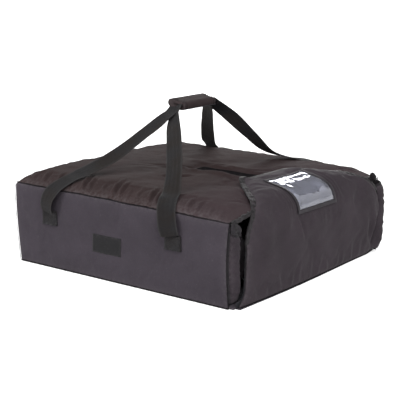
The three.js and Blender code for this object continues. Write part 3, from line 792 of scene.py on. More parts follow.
def side_relief(y, z, seed):
    relief = 0.8 * ripple(y, z, 120, seed) + 0.3 * ripple(y, z, 36, seed + 1)
    dent = 1.3 * bell(y + 4 + 2 * np.sin(z / 19), 3.0)
    relief = relief - dent * smooth((z - 105) / 16) * smooth((160 - z) / 10)
    for tab in TAB_SPOTS:
        relief = relief - (1.2 + 0.4 * relief) * near_tab(y, z, tab)
        relief = creased(relief, y, z, (((tab - 17, 118), (tab - 26, 160), 4, 0.7, 0.5),
                                        ((tab + 17, 84), (tab + 30, 30), 5, 0.6, 0.5)))
    relief = relief + 1.6 * bell(z - 30, 26)
    for place in SIDE_PUCKERS:
        shift = 6 * math.sin(place * 1.7)
        relief = relief + crease(y, z, (place + shift, -2), (place + 2 * shift, 34 + shift), 5, 0.9, 0.5)
    return relief


def near_tab(y, z, tab):
    """1 under a sewn tab and the strap that rises from it, 0 away from them."""
    return smooth((34 - np.abs(y - tab)) / 12) * smooth((z - 70) / 12)


def make_sides():
    for name, sign, seed in (("left", -1, 41), ("right", 1, 47)):
        s, t = np.meshgrid(np.linspace(0, 1, 127), np.linspace(0, 1, 42))
        guess = SEAM_INSET + t * (157 - SEAM_INSET)
        y = front_seam(guess, sign) + s * (back_seam(guess) - front_seam(guess, sign))
        high = seam_height(y)
        z = SEAM_INSET + t * (high - SEAM_INSET)
        ends = np.minimum(y - front_seam(z, sign), back_seam(z) - y)
        d = np.minimum(np.minimum(z - SEAM_INSET, high - z), ends)
        still = np.maximum(*(near_tab(y, z, tab) for tab in TAB_SPOTS))
        if sign < 0:
            patch = smooth((48 - np.abs(y - PATCH_Y)) / 10) * smooth((30 - np.abs(z - 69.5)) / 10)
            still = np.maximum(still, patch)

        def place(y, z, out, sign=sign):
            return stacked(sign * (HALF_WIDTH - SEAM_INSET + foot_out(z) + out), y, z)

        wall_panel("side_" + name, place, y, z, d, side_relief(y, z, seed), name, still)


def make_back():
    edge = HALF_WIDTH - SEAM_INSET
    x, t = np.meshgrid(np.linspace(-edge, edge, 117), np.linspace(0, 1, 42))
    high = seam_height(TOP_BACK) + back_rise(x)
    z = SEAM_INSET + t * (high - SEAM_INSET)
    d = np.minimum(np.minimum(z - SEAM_INSET, high - z), edge - np.abs(x))
    relief = 1.0 * ripple(x, z, 120, 53) + 0.4 * ripple(x, z, 36, 54) + 1.2 * bell(z - 36, 30)
    for start in (-210, -150, -90, -20, 45, 110, 180, 226):
        shift = 7 * math.sin(start * 1.3)
        relief = relief + crease(x, z, (start, 164), (start + shift, 128), 5, 1.3, 0.5)

    def place(x, z, out):
        return stacked(x * (1 + foot_out(z) / edge), back_seam(z * 159.0 / high) + out, z)

    wall_panel("back", place, x, z, d, relief, "back")


def make_bottom():
    edge = HALF_WIDTH - SEAM_INSET + foot_out(0)
    x, t = np.meshgrid(np.linspace(-edge, edge, 81), np.linspace(0, 1, 85))
    first = -266.0 + np.maximum(foot_shift(x), 0) - 6.0 * smooth((-x - 205) / 30)
    last = BACK_FOOT - 0.4
    y = first + t * (last - first)
    d = np.minimum(edge - np.abs(x), np.minimum(last - y, y - first))
    low = 0.35 + (SEAM_INSET - 0.35) * np.exp(-d / 5)
    depth = wall_depth(d) + 0.5 * ripple(x, y, 80, 61) * smooth(d / 30)
    flat = stacked(x, y)
    piece = pillow("bottom_panel", stacked(x, y, low), stacked(x, y, low + depth), NYLON, "nylon", flat,
                   worn_near(d))
    subdivide(piece)
    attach(piece, "bag")
    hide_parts("outer_bottom", "padding_bottom")
    cut = np.s_[2:-2, 1:-1]
    line_wall("bottom_lining", stacked(x, y, low + depth + 0.4)[cut], stacked(x, y, low + depth + 1.2)[cut],
              flat[cut], "lining_bottom")


def cord_tube(name, path, radius, material, wobble, seed):
    """A thin round ridge along a line, such as the sewn edge of a seam."""
    points, at = resample(path, 4.0)
    along = tangents(points)
    aside = unit(np.cross(along, np.array([0.31, 0.22, 0.93])))
    above = np.cross(along, aside)
    turns = np.linspace(0, 2 * math.pi, 9)[:-1]
    size = radius * (1 + wobble * ripple(at, at * 0, 14, seed))[:, None, None]
    ring = np.cos(turns)[None, :, None] * aside[:, None] + np.sin(turns)[None, :, None] * above[:, None]
    cloth = stacked((turns * radius)[None, :], at[:, None])
    return sweep(name, points[:, None] + size * ring, material, "nylon", cloth)


def joined(name, pieces):
    """Several meshes of one material made into one piece."""
    points, faces, flat, worn = [], [], [], []
    count = 0
    for piece in pieces:
        mesh = piece.data
        points.append(values_of(mesh.vertices, "co", 3) / MM)
        faces += [[v + count for v in p.vertices] for p in mesh.polygons]
        flat.append(values_of(mesh.attributes["cloth"].data, "vector", 3, np.float32)[:, :2] / MM)
        worn.append(values_of(mesh.attributes["worn"].data, "value", 1, np.float32)[:, 0])
        count += len(mesh.vertices)
    material = pieces[0].data.materials[0]
    slot = pieces[0]["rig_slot"]
    for piece in pieces:
        bpy.data.objects.remove(piece)
    points, flat, worn = (np.concatenate(part) for part in (points, flat, worn))
    return make_object(name, points, faces, material, slot, flat, worn)


def make_seams():
    """The sewn ridges along the edges of the body."""
    ys = np.linspace(-260, 268, 60)
    low = np.linspace(-260, BACK_FOOT - 1, 50)
    zs = np.linspace(1.2, 155, 40)
    xs = np.linspace(-254, 254, 60)
    x = HALF_WIDTH - 0.4
    foot = 1.25
    soft, firm = [], []
    for sign in (-1, 1):
        upright = sign * (x + foot_out(zs))
        soft.append((0.35, stacked(sign * x, ys, seam_height(ys) + 0.1)))
        soft.append((0.5, stacked(upright, back_seam(zs) + 0.2, zs)))
        firm.append((foot, stacked(sign * (x + foot_out(foot)), low, foot + 0.1)))
        # The front seams' near-black tubes are painted shade of the groove between side panel and wing.
        firm.append((1.0, stacked(upright, front_seam(zs, sign) - 0.5, zs)))
    soft.append((0.5, stacked(xs, TOP_BACK + 0.2, seam_height(TOP_BACK) + back_rise(xs))))
    firm.append((foot, stacked(xs, BACK_FOOT + 0.2, foot + 0.1)))
    for name, lines, cloth in (("seams_upper", soft, SEAM_SOFT_CLOTH), ("seams_lower", firm, SEAM_CLOTH_SHADED)):
        tubes = [cord_tube(f"{name}_{i}", line, size, cloth, 0.15, i) for i, (size, line) in enumerate(lines)]
        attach(joined(name, tubes), "bag")


def foot_out(z):
    """How far the filled side panels stand out beyond their upper seams near the floor."""
    return 2.8 * np.exp(-np.asarray(z) / 16.0)


def bound_edge(name, path, outward, normal, thick, material, reach, crinkle, seed, wave=9.0):
    """Binding tape folded round an edge. path runs along the edge in the middle of the panel's
    thickness, outward points away from the panel and normal out of its face."""
    at = run_of(path)
    half = np.broadcast_to(np.asarray(thick, float) / 2, at.shape)
    turns = np.linspace(-math.pi / 2, math.pi / 2, 9)
    wide = reach * (1 + 0.07 * ripple(at, at * 0, 26, seed + 1))
    lift = crinkle * ripple(at, at * 0, wave, seed + 2)
    sway = 0.6 * crinkle * ripple(at, at * 0, wave * 1.7, seed + 3)

    def flank(sign, extra, shares):
        puffs = (extra + lift * (0.25 + 0.75 * math.sin(share * math.pi)) for share in shares)
        return [(-wide * share, sign * (half + puff)) for share, puff in zip(shares, puffs)]

    def face(extra):
        fold = [((half + extra) * math.cos(turn) * 0.8, (half + extra + 0.4 * lift) * math.sin(turn))
                for turn in turns]
        return flank(-1, extra, (1.0, 0.66, 0.33)) + fold + flank(1, extra, (0.33, 0.66, 1.0))

    ring = face(0.9) + face(0.12)[::-1]
    sections = np.stack([path + outward * (a + sway)[:, None] + normal * b[:, None] for a, b in ring], 1)
    cloth = stacked(np.linspace(0, 4 * reach, len(ring))[None, :], at[:, None])
    return sweep(name, sections, material, "binding", cloth, np.full(sections.shape[:2], 0.4))


def make_mouth_bindings():
    xs = np.arange(-247.0, 247.1, 2.5)
    z = top_surface(xs, np.full_like(xs, MOUTH_Y + 3)) - 4.4
    normal = unit(stacked(-np.gradient(z, xs), 0.0, 1.0))
    piece = bound_edge("mouth_edge_top", stacked(xs, MOUTH_Y + 0.5, z), FORWARD, normal, 6.0, BINDING,
                       8.0, 1.4, 71)
    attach(piece, "bag")
    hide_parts("mouth_binding_top")
    for name, sign in (("left", -1), ("right", 1)):
        zs = np.arange(10.0, 147.1, 2.5)
        path = stacked(sign * (HALF_WIDTH - 5.0), front_seam(zs, sign) + 1.0, zs)
        normal = np.array([float(sign), 0.0, 0.0])
        # The mouth's side edges take the darker binding: painted shade of their grooves.
        piece = bound_edge("mouth_edge_" + name, path, FORWARD, normal, 5.0, BINDING_SHADED, 7.0, 0.4, 73)
        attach(piece, "bag")
        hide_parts("mouth_binding_" + name)
    # The left corner's bunch takes the darker binding: painted shade.
    spots = [(-253.5, 137, 154), (-247, 133, 154), (-239, 130, 153), (-231, 127, 148), (-226, 127, 138)]
    make_corner_bunch("left", spots, BINDING_SHADED, 77)
    # The right corner's bunch is near-black: painted shade of the corner.
    spots = [(219, 152, 168), (226, 147, 170), (232, 146, 168), (238, 147, 160)]
    make_corner_bunch("right", spots, SEAM_CLOTH_SHADED, 78)


def make_corner_bunch(name, spots, material, seed):
    """The mouth's bound edge where it is bunched up in an upper corner: a crumpled pad. spots are
    (x, lower z, upper z) from side to side."""
    s, t = np.meshgrid(np.linspace(0, 1, 31), np.linspace(0, 1, 31))
    spots = np.array(spots, float)
    at = np.linspace(0, 1, len(spots))
    x, low, high = (np.interp(s, at, spots[:, k]) for k in range(3))
    z = low + t * (high - low)
    d = np.minimum(np.minimum(s, 1 - s), np.minimum(t, 1 - t)) * 24
    full = 1 - np.exp(-d / 3.0)
    relief = 1.6 * ripple(x, z, 17, seed) + 0.4 * ripple(x, z, 8, seed + 1)
    relief = relief - 2.6 * bell(z - low - 3.5 - 4 * s, 1.6)
    front = stacked(x, -263.5 - full * (5.0 + relief), z)
    piece = pillow("corner_bunch_" + name, front, stacked(x, -261.5, z), material, "binding", stacked(x, z),
                   worn_near(d, 3))
    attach(subdivide(piece), "bag")


def make_loop_tape():
    xs = np.linspace(-TAPE_HALF, TAPE_HALF, 13)
    ys = np.linspace(BEND_Y + 0.3, 5.0, 90)
    x, y = np.meshgrid(xs, ys)
    z = top_plain(x * 0, y) - 1.4 - 0.5 * np.abs(x / TAPE_HALF) ** 4 + 0.25 * ripple(x, y, 30, 81)
    piece = slab("loop_strip_top", stacked(x, y, z + 1.3), stacked(x, y, z), LOOP_TAPE, "loop_tape",
                 stacked(x, y))
    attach(piece, "bag")
    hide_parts("loop_tape_top")


# Half width of the flap by distance down from the tongue's rear edge
FLAP_DOWN = [0, 50, 100, 112, 124, 138, 158, 190, 215, 240, 256, 266, 275, 282]
FLAP_WIDE = [80, 128, 175, 186, 197, 206, 214, 218, 220, 222, 225, 231, 241, 247]


def flap_half(along):
    """Half width of the flap: the tongue's taper, a soft corner, then wider to the sewn corners."""
    return np.interp(TONGUE_END - np.asarray(along, float), FLAP_DOWN, FLAP_WIDE)


def shoulder_dip(x, along):
    """How far the flap lies below its plain bend: the pocket is pulled down, the sides stay full."""
    return 15.0 * bell(x, 118) * bell(along - BEND_Z - 52, 36)


def flap_point(x, along, out):
    """Point on the flap by place across it, length along its inner face and distance outwards."""
    turn = np.clip((along - BEND_Z) / BEND, 0, math.pi / 2)
    radius = BEND + out - shoulder_dip(x, along)
    straight = np.maximum(along - BEND_END, 0)
    below = np.minimum(along - BEND_Z, 0)
    swell = smooth((x - 125) / 85) * bell(along - 108, 62)
    curl = smooth((x - 198) / 22) ** 2 * bell(along - 98, 66)
    foot = np.exp(-np.maximum(along, 0) / 42)
    corner = 5.0 * smooth((x - 205) / 48) * np.exp(-np.maximum(along, 0) / 22)
    tip = 7.0 * smooth((-x - 46) / 30) * smooth((along - TONGUE_END + 26) / 24)
    y = BEND_Y - radius * np.cos(turn) + straight + foot_shift(x) * foot - 9.0 * swell + 15.0 * curl
    z = BEND_Z + radius * np.sin(turn) + below + corner + tip
    sag = 8.5 * smooth((np.abs(x) - 70) / 135) * smooth((along - BEND_Z + 20) / 60)
    return stacked(x + 22.0 * swell, y, z - sag * np.sin(turn) ** 0.5)


# Start, end, width, height, valley and fade of the flap's single folds
FLAP_FOLDS = [
    ((-61, 136), (-42, 78), 4, -3.6, 0.8, 0.3), ((-52, 140), (-70, 78), 7, 1.2, 0.5, 0.3),
    ((199, 24), (166, 124), 7, -5.0, 0.75, 0.1), ((206, 128), (150, 190), 9, 2.6, 0.7, 0.4),
    ((150, 60), (120, 128), 10, 1.3, 0.6, 0.3), ((-150, 150), (-172, 60), 12, 1.1, 0.6, 0.3),
    ((-196, 190), (-150, 128), 8, 1.5, 0.7, 0.3), ((-240, 1), (-228, 42), 4, -3.2, 0.5, 0.2),
]
# Place, height, lean and reach of the pleats beside the pocket
FLAP_PLEATS = [
    (-71, 2.0, 0.05, 38), (-78.5, 2.4, 0.05, 38), (-86, 1.6, 0.05, 38), (-95, 1.2, 0.05, 38),
    (66, 0.8, -0.04, 36), (75, 1.2, -0.04, 36), (84, 0.8, -0.04, 36),
]


def flap_edge_distance(x, along):
    """Distance to the flap's nearest free edge, near enough for its padding."""
    slant = math.atan2(FLAP_HALF - TONGUE_HALF, TONGUE_END - FOLD_ALONG)
    lean = np.where(along > FOLD_ALONG, math.cos(slant), 1.0)
    side = (flap_half(along) - np.abs(x)) * lean
    return np.minimum(side, TONGUE_END - along)


def flap_relief(x, along):
    """Folds of the flap's outer cloth."""
    relief = 1.5 * ripple(x, along, 105, 21) + 0.55 * ripple(x, along, 40, 22)
    relief = creased(relief, x, along, FLAP_FOLDS)
    for place, height, lean, reach in FLAP_PLEATS:
        relief = relief + height * bell(x - place - lean * (along - 160), 2.6) * bell(along - 168, reach)
    rng = np.random.RandomState(9)
    for place in np.linspace(-225, 225, 15):
        start = (place + rng.uniform(-9, 9), -4)
        end = (start[0] + rng.uniform(-16, 16), rng.uniform(26, 62))
        relief = relief + crease(x, along, start, end, 6, rng.uniform(1.0, 2.6), 0.6)
    for sign in (-1, 1):
        for start in (250, 232, 214, 196, 172):
            half = float(flap_half(start))
            end = (sign * (half - 34), start - 20 + 5 * math.sin(start * 3.1 * sign))
            relief = relief + crease(x, along, (sign * half, start), end, 4, 1.1, 0.7)
    pocket = smooth((75 - np.abs(x)) / 10) * smooth((along - 132) / 10) * smooth((240 - along) / 8)
    return relief * (1 - 0.85 * pocket)


def flap_outer(x, along):
    """How far the flap's outer cloth stands off its inner face."""
    edge = flap_edge_distance(x, along)
    bound = smooth((along - 92) / 26)
    thin = 2.6 * bound + 6.0 * (1 - bound)
    full = WALL - 0.6 + 1.4 * bell(x, 150) * bell(along - 70, 70)
    full = full - 1.6 * smooth((along - BEND_END) / 30)
    rise = 1 - np.exp(-np.maximum(edge - 7.0 * bound, 0) / 10)
    base = thin + (full - thin) * rise
    base = base + flap_relief(x, along) * smooth((edge - 5 * bound) / 14) * smooth((along - 2) / 16)
    foot = np.clip((along + 1) / 15, 0, 1)
    return base * np.sqrt(np.clip(1 - (1 - foot) ** 2, 0, 1)) + 0.3


def flap_grid(rows, cols):
    low = rows // 2
    alongs = np.concatenate([np.linspace(1.5, BEND_Z, low)[:-1], np.linspace(BEND_Z, TONGUE_END, rows - low)])
    share, along = np.meshgrid(np.linspace(-1, 1, cols), alongs)
    return share * flap_half(along), along


def flap_skin_object():
    x, along = flap_grid(74, 113)
    edge = flap_edge_distance(x, along)
    out = flap_outer(x, along)
    back = flap_point(x, along, np.minimum(0.15, out - 0.2))
    piece = pillow("flap_skin", flap_point(x, along, out), back, NYLON_FLAP, "nylon", stacked(x, along),
                   worn_near(edge, 7))
    held = np.ones(len(piece.data.vertices))
    grip = np.clip(1.2 - np.minimum(edge, along) / 24, 0, 1)
    pocket = smooth((82 - np.abs(x)) / 10) * smooth((along - 126) / 10) * smooth((244 - along) / 8)
    held[:x.size] = np.maximum(np.maximum(grip, pocket), 0.04).reshape(-1)
    settle(piece, held, 4.0, pressure=2.5, swell=0.012)
    return subdivide(piece)


def blend_over_bend(piece):
    """Bakes the piece's placement into its points."""
    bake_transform(piece)


def make_flap():
    skin = flap_skin_object()
    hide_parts("flap_outer", "flap_padding", "tongue_outer", "tongue_padding")
    blend_over_bend(skin)
    x, along = flap_grid(50, 61)
    x = x * 0.985
    flat = stacked(x, along)
    sheet = slab("flap_lining_cloth", flap_point(x, along, -0.1), flap_point(x, along, -0.8), LINING,
                 "lining", flat)
    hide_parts("flap_lining", "tongue_lining")
    blend_over_bend(sheet)


def flap_outline():
    """The flap's free edge as a line across its flat cloth, from low on the left round to the right."""
    low = (34, 60, 90, 120, 150, FOLD_ALONG - 2)
    slant = (FOLD_ALONG + 8, 205, 235, 262, TONGUE_END - 5)
    rear = [(-TONGUE_HALF + 6, TONGUE_END - 0.5), (-40, TONGUE_END), (0, TONGUE_END + 0.3)]
    half = [(-float(flap_half(a)), a) for a in low + slant] + rear
    return half + [(-x, a) for x, a in half[:-1][::-1]]


def make_flap_binding():
    flat, _ = resample(flap_outline(), 2.2)
    x, along = flat[:, 0], flat[:, 1]
    step = 0.5
    bound = smooth((along - 92) / 26)
    hidden = 1 - bound
    inward = unit(stacked(-np.gradient(along), np.gradient(x)))
    inward = inward * np.where(np.sum(inward * -flat, 1) < 0, -1.0, 1.0)[:, None]
    x = x + inward[:, 0] * hidden * 5
    along = along + inward[:, 1] * hidden * 5
    middle = 1.4 * bound + 0.6 * hidden
    path = flap_point(x, along, middle)
    toward = flap_point(x - inward[:, 0] * step, along - inward[:, 1] * step, middle)
    normal = unit(flap_point(x, along, middle + 1) - path)
    piece = bound_edge("flap_edge_tape", path, unit(toward - path), normal, 2.4 * bound + 1.0 * hidden,
                       BINDING, 8.5, 1.0, 91, wave=10.0)
    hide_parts("flap_binding_left", "flap_binding_right", "tongue_binding")
    blend_over_bend(piece)


def pocket_strip(name, xs, alongs, lift, thick, seed):
    """A strip of tape that lies on the flap's outer cloth."""
    x, along = np.meshgrid(xs, alongs)
    out = flap_outer(x, along) + lift + 0.25 * ripple(x, along, 16, seed)
    return slab(name, flap_point(x, along, out + thick), flap_point(x, along, out), POCKET_TAPE, "binding",
                stacked(x, along))


POCKET_HALF = 59.0
POCKET_REAR = TONGUE_END - 46.0
POCKET_EDGE = POCKET_HALF + 6.5


def make_pocket():
    alongs = np.linspace(BEND_Z - 2, POCKET_REAR - 3, 70)
    xs = np.linspace(-POCKET_HALF - 3, POCKET_HALF + 3, 49)
    x, along = np.meshgrid(xs, alongs)
    u = np.clip((along - alongs[0]) / (alongs[-1] - alongs[0]), 0, 1)
    inside = smooth((POCKET_HALF + 3 - np.abs(x)) / 16) * smooth(u / 0.12) * smooth((1 - u) / 0.12)
    wave = 0.7 * ripple(x, along, 60, 5) + 0.18 * ripple(x, along, 22, 6)
    out = flap_outer(x, along) + 0.7 + inside * (1.8 + wave)
    window = slab("pocket_window", flap_point(x, along, out + 0.4), flap_point(x, along, out), VINYL,
                  "vinyl", stacked(x, along))
    subdivide(window)
    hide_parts("window_lower", "window_upper")
    blend_over_bend(window)
    for name, sign in (("left", -1), ("right", 1)):
        edges = sorted((sign * POCKET_HALF, sign * POCKET_EDGE))
        strip = pocket_strip("pocket_side_" + name, np.linspace(*edges, 7),
                             np.linspace(BEND_Z - 4, POCKET_REAR - 1, 60), 1.3, 0.9, 100 + sign)
        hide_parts(f"pocket_tape_{name}_lower", f"pocket_tape_{name}_upper")
        blend_over_bend(strip)
    xs = np.linspace(-POCKET_EDGE, POCKET_EDGE, 60)
    low = pocket_strip("pocket_foot", xs, np.linspace(BEND_Z - 7, BEND_Z, 7), 1.5, 1.0, 104)
    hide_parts("pocket_tape_bottom")
    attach(low, "flap")
    high = pocket_strip("pocket_hem", xs, np.linspace(POCKET_REAR - 3.5, POCKET_REAR, 7), 1.5, 1.0, 105)
    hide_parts("pocket_tape_rear")
    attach(high, "tongue")


def make_hook_tape():
    xs = np.linspace(-TAPE_HALF, TAPE_HALF, 9)
    x, along = np.meshgrid(xs, np.linspace(BEND_END + 1, TONGUE_END - 12, 30))
    piece = slab("hook_strip_tongue", flap_point(x, along, -1.0), flap_point(x, along, -2.3), HOOK_TAPE,
                 "hook_tape", stacked(x, along))
    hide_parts("hook_tape_tongue")
    blend_over_bend(piece)


def make_hinge_cloth():
    """The cloth that joins the bag's bottom to the flap's foot: the outer cloth runs on under the foot,
    and the lining turns up behind it."""
    xs = np.linspace(-246, 242, 83)
    first = -265.6 + foot_shift(xs)
    share = np.linspace(0, 1, 13)[:, None]
    x = np.broadcast_to(xs, (13, 83))
    y = first + 8.0 - (16.0 - 1.5 * smooth(xs / 200)) * share
    z = 0.5 + 0.15 * ripple(x, y, 24, 87) + 4.0 * smooth((x - 205) / 48) * share
    flat = stacked(x, y)
    outer = slab("hinge_cloth_outer", stacked(x, y, z + 0.35), stacked(x, y, z - 0.35), NYLON, "nylon", flat)
    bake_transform(outer)
    z = 12.2 - share * 10.6 + 0 * xs
    y = first + 0.9 + 0.25 * ripple(x, z, 24, 88)
    flat = stacked(x, z)
    inner = slab("hinge_cloth_lining", stacked(x, y + 0.35, z), stacked(x, y - 0.35, z), LINING, "lining",
                 flat)
    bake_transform(inner)


# Each wing's side, the colour of its cloth, its section from above, its upper and lower edge by share
# of its width, and the seed of its folds. The left wing's cloth is a darker copy of the nylon, painted shade;
# the right wing's is the flap's toned copy.
WINGS = {
    "left": (-1, NYLON_WING_SHADED,
             [(0, 0), (3, -5.5), (8, -9.5), (14, -9.5), (20, -6), (25, 1), (27.5, 9), (33, 15), (48, 19),
              (64, 21), (79, 22)],
             ([0, 0.08, 0.2, 0.34, 0.5, 0.8, 0.95, 1.0], [148, 141, 134, 133, 132, 122, 102, 76]),
             ([0, 0.3, 0.6, 0.9, 1.0], [7, 14, 23, 36, 62]), 111),
    "right": (1, NYLON_FLAP,
              [(0, 0), (-3, -9), (-3, -18), (3, -24), (12, -23), (21, -15), (30, -5), (40, 4), (52, 11),
               (66, 17), (79, 21)],
              ([0, 0.2, 0.4, 0.6, 0.8, 0.95, 1.0], [148, 146, 143, 138, 126, 106, 78]),
              ([0, 0.3, 0.6, 0.9, 1.0], [6, 8, 14, 26, 50]), 121),
}
# The wing's bound edge, by share of its width and height
WING_EDGE = [(a, 1.0) for a in (0.0, 0.08, 0.2, 0.34, 0.5, 0.65, 0.8, 0.92, 1.0)] + [
    (1.0, 0.6), (1.0, 0.25), (0.97, 0.0), (0.86, 0.0)]
WING_RUN = 80.0
def wing_place(plan, sign, s, z, out):
    """Point on a wing by share of its width, height and distance in front of its middle."""
    line, at = resample(plan, 1.0)
    along = unit(np.gradient(line, axis=0))
    x, y, nx, ny = (np.interp(s, at / at[-1], values)
                    for values in (line[:, 0], line[:, 1], along[:, 1], -along[:, 0]))
    grown = 0.15 + 0.85 * np.clip(np.sin(np.clip(z / 150, 0.02, 0.98) * math.pi), 0, 1) ** 0.6
    near = smooth(s / 0.55)
    y = y * (grown + (1 - grown) * near)
    base = front_seam(z, sign) + 1.5
    return stacked(sign * (250.5 - x - nx * out), base * (1 - near) + (-256) * near + y + ny * out, z)


def make_wings():
    for name, (sign, cloth, plan, top, bottom, seed) in WINGS.items():
        s, t = np.meshgrid(np.linspace(0, 1, 41), np.linspace(0, 1, 55))
        low, high = np.interp(s, *bottom), np.interp(s, *top)
        z = low + t * (high - low)
        d = np.minimum(np.minimum(s, 1 - s) * WING_RUN, np.minimum(t, 1 - t) * (high - low))
        puff = 4.2 * (1 - np.exp(-d / 9)) + 0.4
        u = s * WING_RUN
        relief = 0.9 * ripple(u, z, 48, seed) + 0.5 * ripple(u, z, 19, seed + 1)
        folds = ((126, 1.4), (112, 1.0), (70, 0.8), (34, 0.9))
        relief = creased(relief, u, z, [((0, z0), (34, z0 - 12), 4, height, 0.7) for z0, height in folds])
        front = wing_place(plan, sign, s, z, puff + relief * smooth(d / 10))
        back = wing_place(plan, sign, s, z, -puff)
        piece = pillow("wing_" + name + "_pad", front, back, cloth, "nylon", stacked(s * 95, z),
                       worn_near(d, 6))
        held = np.ones(len(piece.data.vertices))
        held[:s.size] = np.maximum(np.clip(1.2 - d / 14, 0, 1), 0.05).reshape(-1)
        settle(piece, held, 2.5, pressure=2.0)
        subdivide(piece)
        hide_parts("wing_" + name)
        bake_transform(piece)
        ps = [(a, np.interp(a, *bottom) * (1 - b) + b * np.interp(a, *top)) for a, b in WING_EDGE]
        line, _ = resample(np.array(ps) * np.array([WING_RUN, 1.0]), 2.0)
        es, ez = line[:, 0] / WING_RUN, line[:, 1]
        path = wing_place(plan, sign, es, ez, 0.0)
        normal = unit(wing_place(plan, sign, es, ez, 1.0) - path)
        outward = unit(np.cross(tangents(path), normal))
        middle = np.array([sign * 215.0, -250.0, 80.0])
        outward = outward * np.where(np.sum((path - middle) * outward, 1) < 0, -1.0, 1.0)[:, None]
        # The wing's edge takes the darker binding: painted shade.
        tape = bound_edge("wing_" + name + "_tape", path, outward, normal, 2.0, BINDING_SHADED, 9.0, 1.3,
                          seed + 5, wave=11.0)
        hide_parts("wing_" + name + "_binding")
        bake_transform(tape)


# Each strap leg's cloth, its route from the sewn tab to the hand wrap, and its turn about itself. The far
# right legs take a darker and a paler copy of the webbing: painted shade and painted light.
LEGS = {
    "rear_left": (WEBBING_CLOTH,
                  [(-263.4, 176.5, 113.5), (-268, 175, 127), (-267, 169, 146), (-259, 157, 163),
                   (-238, 143, 178), (-212, 134, 187), (-152, 106, 213), (-91, 70, 259), (-66, 33, 295),
                   (-52, 22, 312)], [-14, -14, -10, -4, 0, 4, 6, -8, -20, -10]),
    "front_left": (WEBBING_CLOTH,
                   [(-263.4, -134, 113.5), (-267, -132, 128), (-264.5, -127, 146), (-257.5, -121, 161),
                    (-239, -110, 174), (-215, -98, 182.5), (-171, -69, 216), (-119, -26, 255),
                    (-67, 18, 292), (-52, 22, 313)], [14, 15, 12, 6, 2, -2, -12, -18, -30, -20]),
    "rear_right": (WEBBING_SHADED,
                   [(259.6, 177, 113.5), (263, 176, 138), (258, 170, 160), (246, 164, 175),
                    (213, 147, 192), (168, 115, 225), (114, 73, 267), (59, 28, 306), (52, 22, 312)],
                   [-4, -7, -7, -7, -10, -16, -30, -44, -40]),
    "front_right": (WEBBING_LIT,
                    [(259.6, -134, 113.5), (262, -130, 138), (259, -122, 158), (247, -112, 171),
                     (203, -84, 182), (162, -50, 200), (126, -30, 236), (91, -3, 278), (52, 22, 314)],
                    [0, -2, -4, -6, -4, -6, 4, 14, 8]),
}


def ribbon(name, path, at, across, face, material):
    """A flat strap: rounded edges, a little thinner towards them, and hollowed along its middle."""
    shares = np.array([-1.0, -0.96, -0.8, -0.4, 0, 0.4, 0.8, 0.96, 1.0])
    full = np.array([0.0, 0.75, 1.0, 1.0, 1.0, 1.0, 1.0, 0.75, 0.0])
    ring = list(zip(shares, full)) + [(a, -b) for a, b in zip(shares[-2:0:-1], full[-2:0:-1])]
    waver = 0.3 * ripple(at, at * 0, 60, len(name))
    lifts = [b * STRAP_THICK / 2 + 0.5 * (a * a - 0.4) + waver * a for a, b in ring]
    sections = np.stack([path + across * (a * WEBBING / 2) + face * lift[:, None]
                         for (a, _), lift in zip(ring, lifts)], 1)
    cloth = stacked(np.array([a for a, _ in ring])[None, :] * WEBBING / 2, at[:, None])
    worn = np.broadcast_to(np.array([max(0, abs(a) - 0.8) * 5 for a, _ in ring])[None, :], cloth.shape[:2])
    return sweep(name, sections, material, "webbing", cloth, worn)


def leg_frame(route, rolls):
    path, at = resample(route, 3.0)
    along = tangents(path)
    y_axis = np.array([0.0, 1.0, 0.0])
    across = unit(y_axis - along * (along @ y_axis)[:, None])
    face = np.cross(along, across)
    knots = run_of(np.array(route, float))
    roll = np.radians(np.interp(at / at[-1], knots / knots[-1], rolls))[:, None]
    turned = across * np.cos(roll) + face * np.sin(roll)
    return path, at, turned, np.cross(along, turned)


def make_legs():
    for name, (cloth, route, rolls) in LEGS.items():
        piece = subdivide(ribbon("strap_" + name, *leg_frame(route, rolls), cloth))
        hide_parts("strap_leg_" + name)
        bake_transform(piece)


STITCH_LENGTH, STITCH_GAP, STITCH_RADIUS = 2.6, 1.1, 0.32


def stitch_run(name, path, up):
    """A row of stitches along a line: short rounded threads that dip into the cloth at both ends."""
    points, at = resample(path, 0.5)
    along = tangents(points)
    verts, faces = [], []
    rings = np.linspace(-0.5, 0.5, 5)
    turns = np.linspace(0, 2 * math.pi, 7)[:-1]
    place = STITCH_GAP
    while place + STITCH_LENGTH < at[-1]:
        i = int(np.searchsorted(at, place + STITCH_LENGTH / 2))
        aside = unit(np.cross(along[i], up))
        base = len(verts)
        for ring in rings:
            rise = STITCH_RADIUS * 0.7 - 1.3 * STITCH_RADIUS * (2 * ring) ** 2
            centre = points[i] + along[i] * ring * STITCH_LENGTH + up * rise
            size = STITCH_RADIUS * (1 - 0.5 * (2 * abs(ring)) ** 3)
            verts += [centre + (aside * math.cos(a) + up * math.sin(a)) * size for a in turns]
        faces += (base + ring_faces(len(rings), len(turns))).tolist()
        last = len(verts) - len(turns)
        faces += [list(range(base + len(turns) - 1, base - 1, -1)), list(range(last, len(verts)))]
        place += STITCH_LENGTH + STITCH_GAP
    return make_object(name, np.array(verts), faces, THREAD, "webbing", np.zeros((len(verts), 2)))


def side_face(y, z):
    """How far out the left or right panel's cloth stands at a place."""
    d = np.minimum(z - SEAM_INSET, seam_height(y) - z)
    return HALF_WIDTH - SEAM_INSET + foot_out(z) + SIDE_PUFF * (1 - np.exp(-d / SEAM_SOFT))


